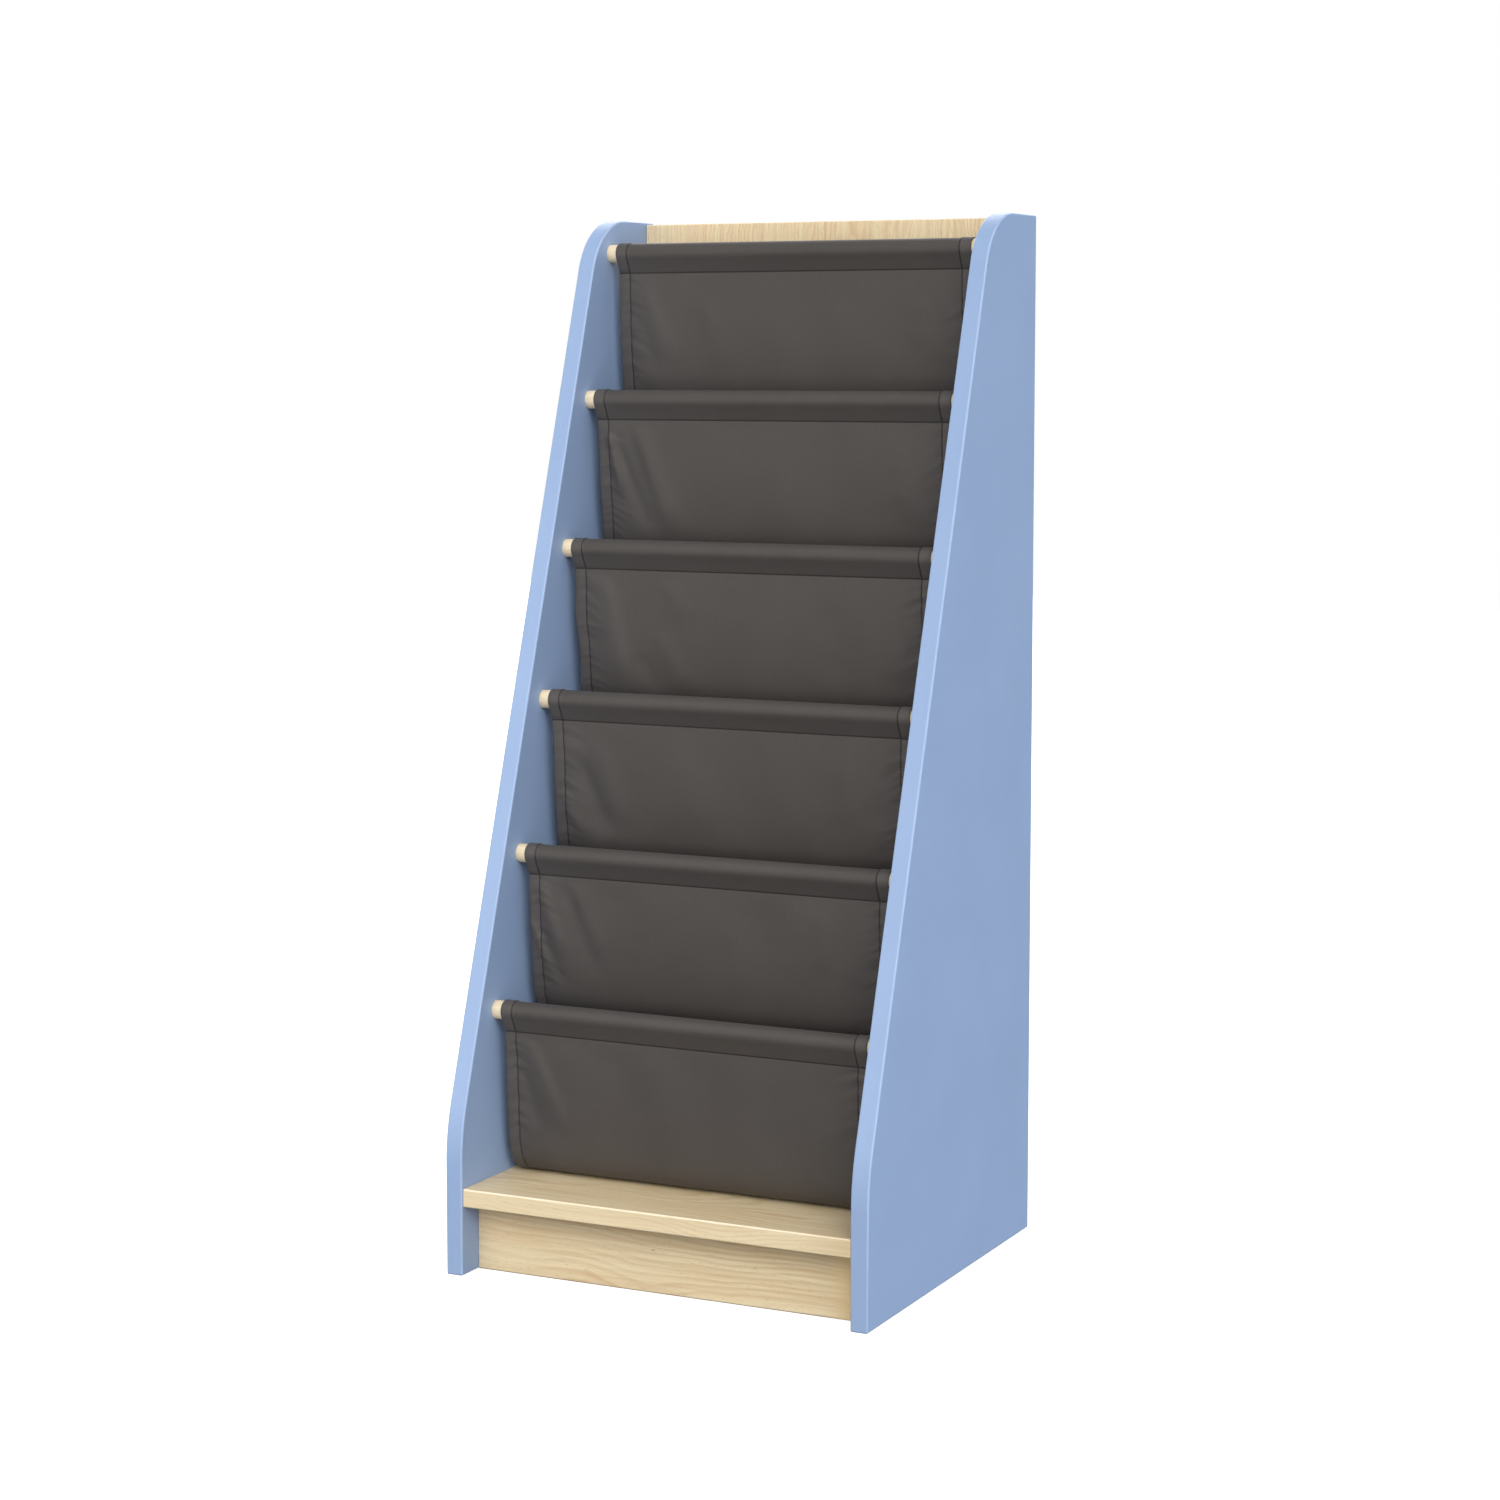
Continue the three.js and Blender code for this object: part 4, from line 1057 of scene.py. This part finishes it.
def sling(index):
    y0, z0 = TIER[index]
    P, N, front, rear, s, u = sling_surface(index)
    P = P + np.array([0.0, y0, z0])
    front, rear = rounded_ends(front), rounded_ends(rear)
    outer = P + N * front[..., None]
    inner = P - N * rear[..., None]
    nv, nu = u.shape
    # a middle rib round the border makes the folded edges round
    grid = np.arange(nv * nu).reshape(nv, nu)
    border = np.concatenate([grid[0, :-1], grid[:-1, -1], grid[-1, :0:-1], grid[:0:-1, 0]])
    flat_outer, flat_inner = outer.reshape(-1, 3), inner.reshape(-1, 3)
    rib = 0.5 * (flat_outer[border] + flat_inner[border])
    out_x = np.zeros(len(border))
    col = border % nu
    out_x[col == 0], out_x[col == nu - 1] = -0.32, 0.32
    rib[:, 0] += out_x
    verts = np.concatenate([flat_outer, flat_inner, rib])
    base = nv * nu
    q = lambda g, f: np.stack([g[:-1, :-1], g[:-1, 1:], g[1:, 1:], g[1:, :-1]], -1).reshape(-1, 4)[:, ::f]
    faces = np.concatenate([q(grid, 1), q(grid + base, -1)]).tolist()
    nb = len(border)
    for k in range(nb):
        a, b = border[k], border[(k + 1) % nb]
        ra, rb = 2 * base + k, 2 * base + (k + 1) % nb
        faces.append([a, ra, rb, b])
        faces.append([ra, a + base, b + base, rb])
    name = f"canvas_sling_{index + 1}"
    ob = new_object(name, verts, faces, CANVAS)
    face_out(ob)
    uv = ob.data.uv_layers.new(name="cloth")
    per_vertex = np.zeros((len(verts), 2))
    per_vertex[:base] = np.stack([u.ravel(), s.ravel()], -1) * 0.001
    per_vertex[base:2 * base] = per_vertex[:base] + (0.0, 0.0)
    per_vertex[2 * base:] = per_vertex[border]
    loop_vertex = np.empty(len(ob.data.loops), np.int64)
    ob.data.loops.foreach_get("vertex_index", loop_vertex)
    uv.data.foreach_set("uv", per_vertex[loop_vertex].astype(np.float32).ravel())
    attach(ob, "root")
    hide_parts(f"sling_{index + 1}")

    # sewing thread: both sleeve seams, and both hems on either side of the cloth
    out_skin = Surface(outer, ROWS, COLUMNS)
    in_skin = Surface(inner, ROWS, COLUMNS)
    across = np.linspace(-SLING_HALF + 1.6, SLING_HALF - 1.6, 160)
    down = np.linspace(2.0, TOTAL - 2.0, 420)
    cross_sign = np.cross(outer[2, 3] - outer[2, 2], outer[3, 2] - outer[2, 2]) @ N[2, 2]
    sign = 1.0 if cross_sign > 0 else -1.0
    parts = []
    parts += stitches(out_skin, np.full(160, S_FRONT), across, sign)
    parts += stitches(out_skin, np.full(160, S_REAR), across, sign)
    for edge in (-1, 1):
        parts += stitches(out_skin, down, np.full(420, edge * (SLING_HALF - HEM)), sign)
        parts += stitches(in_skin, down, np.full(420, edge * (SLING_HALF - HEM)), -sign)
    sewn = new_object(f"sling_thread_{index + 1}", *merged(parts), THREAD)
    face_out(sewn)
    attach(sewn, "root")
    return ob


for i in range(TIERS):
    sling(i)
print("sling ribbon length", round(float(TOTAL), 2), "rows", len(ROWS), "columns", len(COLUMNS))

# ------------------------------------------------------------------ hidden fittings keep their CAD shape

for name, ob in NODES.items():
    if name.startswith("cam_bolt_"):
        material = ZINC
    elif name.startswith("wood_pin_"):
        material = BEECH
    else:
        continue
    if ob.material_slots:
        for k in range(len(ob.material_slots)):
            ob.material_slots[k].material = material
    else:
        ob.data.materials.append(material)

# ------------------------------------------------------------------ floor and light


def floor():
    m = Nodes("pale_floor")
    tint = m.noise(m.place(), 1.2, 2.0, 0.5)
    tone = m.mix(m.span(tint, 0.3, 0.7), (0.84, 0.84, 0.84, 1), (0.86, 0.86, 0.86, 1))
    m.set(Base_Color=tone, Roughness=0.9)
    m.shader.inputs["Specular IOR Level"].default_value = 0.0
    m.shader.inputs["Emission Color"].default_value = (1.0, 1.0, 1.0, 1.0)
    m.shader.inputs["Emission Strength"].default_value = 0.62
    n = 9000.0
    ob = new_object("floor", [(-n, -n, -0.3), (n, -n, -0.3), (n, n, -0.3), (-n, n, -0.3)], [[0, 1, 2, 3]], m.mat)
    ob.visible_diffuse = False
    ob.visible_glossy = False
    ob.visible_shadow = False
    return ob


floor()


def soft_box(name, azimuth, elevation, distance, width, height, level, tint=(1, 1, 1)):
    """A large soft light. azimuth is from the front towards the viewer's right, level is what it adds to a white card that faces it."""
    az, el = math.radians(azimuth), math.radians(elevation)
    way = np.array([math.sin(az) * math.cos(el), -math.cos(az) * math.cos(el), math.sin(el)])
    data = bpy.data.lights.new(name, "AREA")
    data.shape = "RECTANGLE"
    data.size, data.size_y = width, height
    data.energy = level * math.pi ** 2 * distance ** 2
    data.color = tint
    ob = bpy.data.objects.new(name, data)
    ob.location = np.array([0.0, 0.0, 0.5]) + distance * way
    ob.rotation_euler = (math.pi / 2 - el, 0.0, az)
    ob.visible_camera = False
    bpy.context.scene.collection.objects.link(ob)
    return ob


soft_box("front_light", -27, 13, 1.95, 1.25, 1.25, 0.350, (1.02, 1.0, 0.95))
soft_box("side_light", 70, 0, 2.6, 1.6, 1.6, 0.163, (1.0, 1.0, 0.98))

# The studio round the object, as soft bright fields on a dark surround: azimuth from the
# front towards the viewer's right, elevation, what each adds to a white card that faces
# it, its inner and outer angular radius, and its tint.
FIELDS = [
    (39, 27, 0.458, 8, 26, (1.02, 1.0, 0.95)),
    (8, 3, 0.115, 8, 25, (1.02, 1.0, 0.95)),
    (12, -32, 0.110, 8, 28, (1.0, 1.0, 1.02)),  # back up from the pale floor
    (13, 54, 0.300, 8, 30, (1.01, 1.0, 0.97)),
    (72, 55, 0.065, 8, 30, (0.99, 1.0, 1.0)),
    (106, 54, 0.190, 8, 30, (0.98, 1.0, 1.0)),
    (115, 3, 0.340, 8, 25, (0.98, 1.0, 1.0)),
    (-95, 27, 0.22, 10, 32, (1.0, 1.0, 1.0)),
    (-140, 27, 0.25, 10, 32, (1.0, 1.0, 1.0)),
    (-162, 26, 0.50, 10, 36, (1.0, 1.0, 1.0)),
]


def field_level(level, inner, outer):
    """The brightness of a field that adds level to a white card facing it."""
    angle = np.linspace(0.0, math.radians(outer), 2000)
    c = np.cos(angle)
    lo, hi = math.cos(math.radians(outer)), math.cos(math.radians(inner))
    t = np.clip((c - lo) / (hi - lo), 0, 1)
    share = (t * t * (3 - 2 * t)) * c * np.sin(angle) * 2 * math.pi
    total = float((0.5 * (share[1:] + share[:-1]) * np.diff(angle)).sum())
    return level * math.pi / total, lo, hi


def surroundings():
    """White behind the object, and the studio's soft fields for everything else."""
    world = bpy.data.worlds.new("studio")
    bpy.context.scene.world = world
    world.use_nodes = True
    t = world.node_tree
    t.nodes.clear()
    out = t.nodes.new("ShaderNodeOutputWorld")
    mix = t.nodes.new("ShaderNodeMixShader")
    seen = t.nodes.new("ShaderNodeBackground")
    seen.inputs[0].default_value = (1, 1, 1, 1)
    seen.inputs[1].default_value = 1.0
    light = t.nodes.new("ShaderNodeBackground")
    light.inputs[1].default_value = 1.0
    rays = t.nodes.new("ShaderNodeLightPath")
    way = t.nodes.new("ShaderNodeTexCoord")
    total = None
    for azimuth, elevation, level, inner, outer, tint in FIELDS:
        az, el = math.radians(azimuth), math.radians(elevation)
        bright, lo, hi = field_level(level, inner, outer)
        dot = t.nodes.new("ShaderNodeVectorMath")
        dot.operation = "DOT_PRODUCT"
        t.links.new(way.outputs["Generated"], dot.inputs[0])
        dot.inputs[1].default_value = (math.sin(az) * math.cos(el), -math.cos(az) * math.cos(el), math.sin(el))
        near = t.nodes.new("ShaderNodeMapRange")
        near.clamp = True
        near.interpolation_type = "SMOOTHSTEP"
        t.links.new(dot.outputs["Value"], near.inputs[0])
        for k, v in zip((1, 2, 3, 4), (lo, hi, 0.0, bright)):
            near.inputs[k].default_value = v
        tinted = t.nodes.new("ShaderNodeVectorMath")
        tinted.operation = "SCALE"
        tinted.inputs[0].default_value = tint
        t.links.new(near.outputs[0], tinted.inputs["Scale"])
        if total is None:
            total = tinted.outputs[0]
        else:
            add = t.nodes.new("ShaderNodeVectorMath")
            add.operation = "ADD"
            t.links.new(total, add.inputs[0])
            t.links.new(tinted.outputs[0], add.inputs[1])
            total = add.outputs[0]
    t.links.new(total, light.inputs[0])
    t.links.new(rays.outputs["Is Camera Ray"], mix.inputs[0])
    t.links.new(light.outputs[0], mix.inputs[1])
    t.links.new(seen.outputs[0], mix.inputs[2])
    t.links.new(mix.outputs[0], out.inputs[0])


surroundings()
bpy.context.scene.view_settings.view_transform = "Standard"
bpy.context.scene.view_settings.look = "None"
bpy.context.scene.view_settings.exposure = 0.0
bpy.context.scene.view_settings.gamma = 1.0

# ------------------------------------------------------------------ done

bpy.context.view_layer.update()
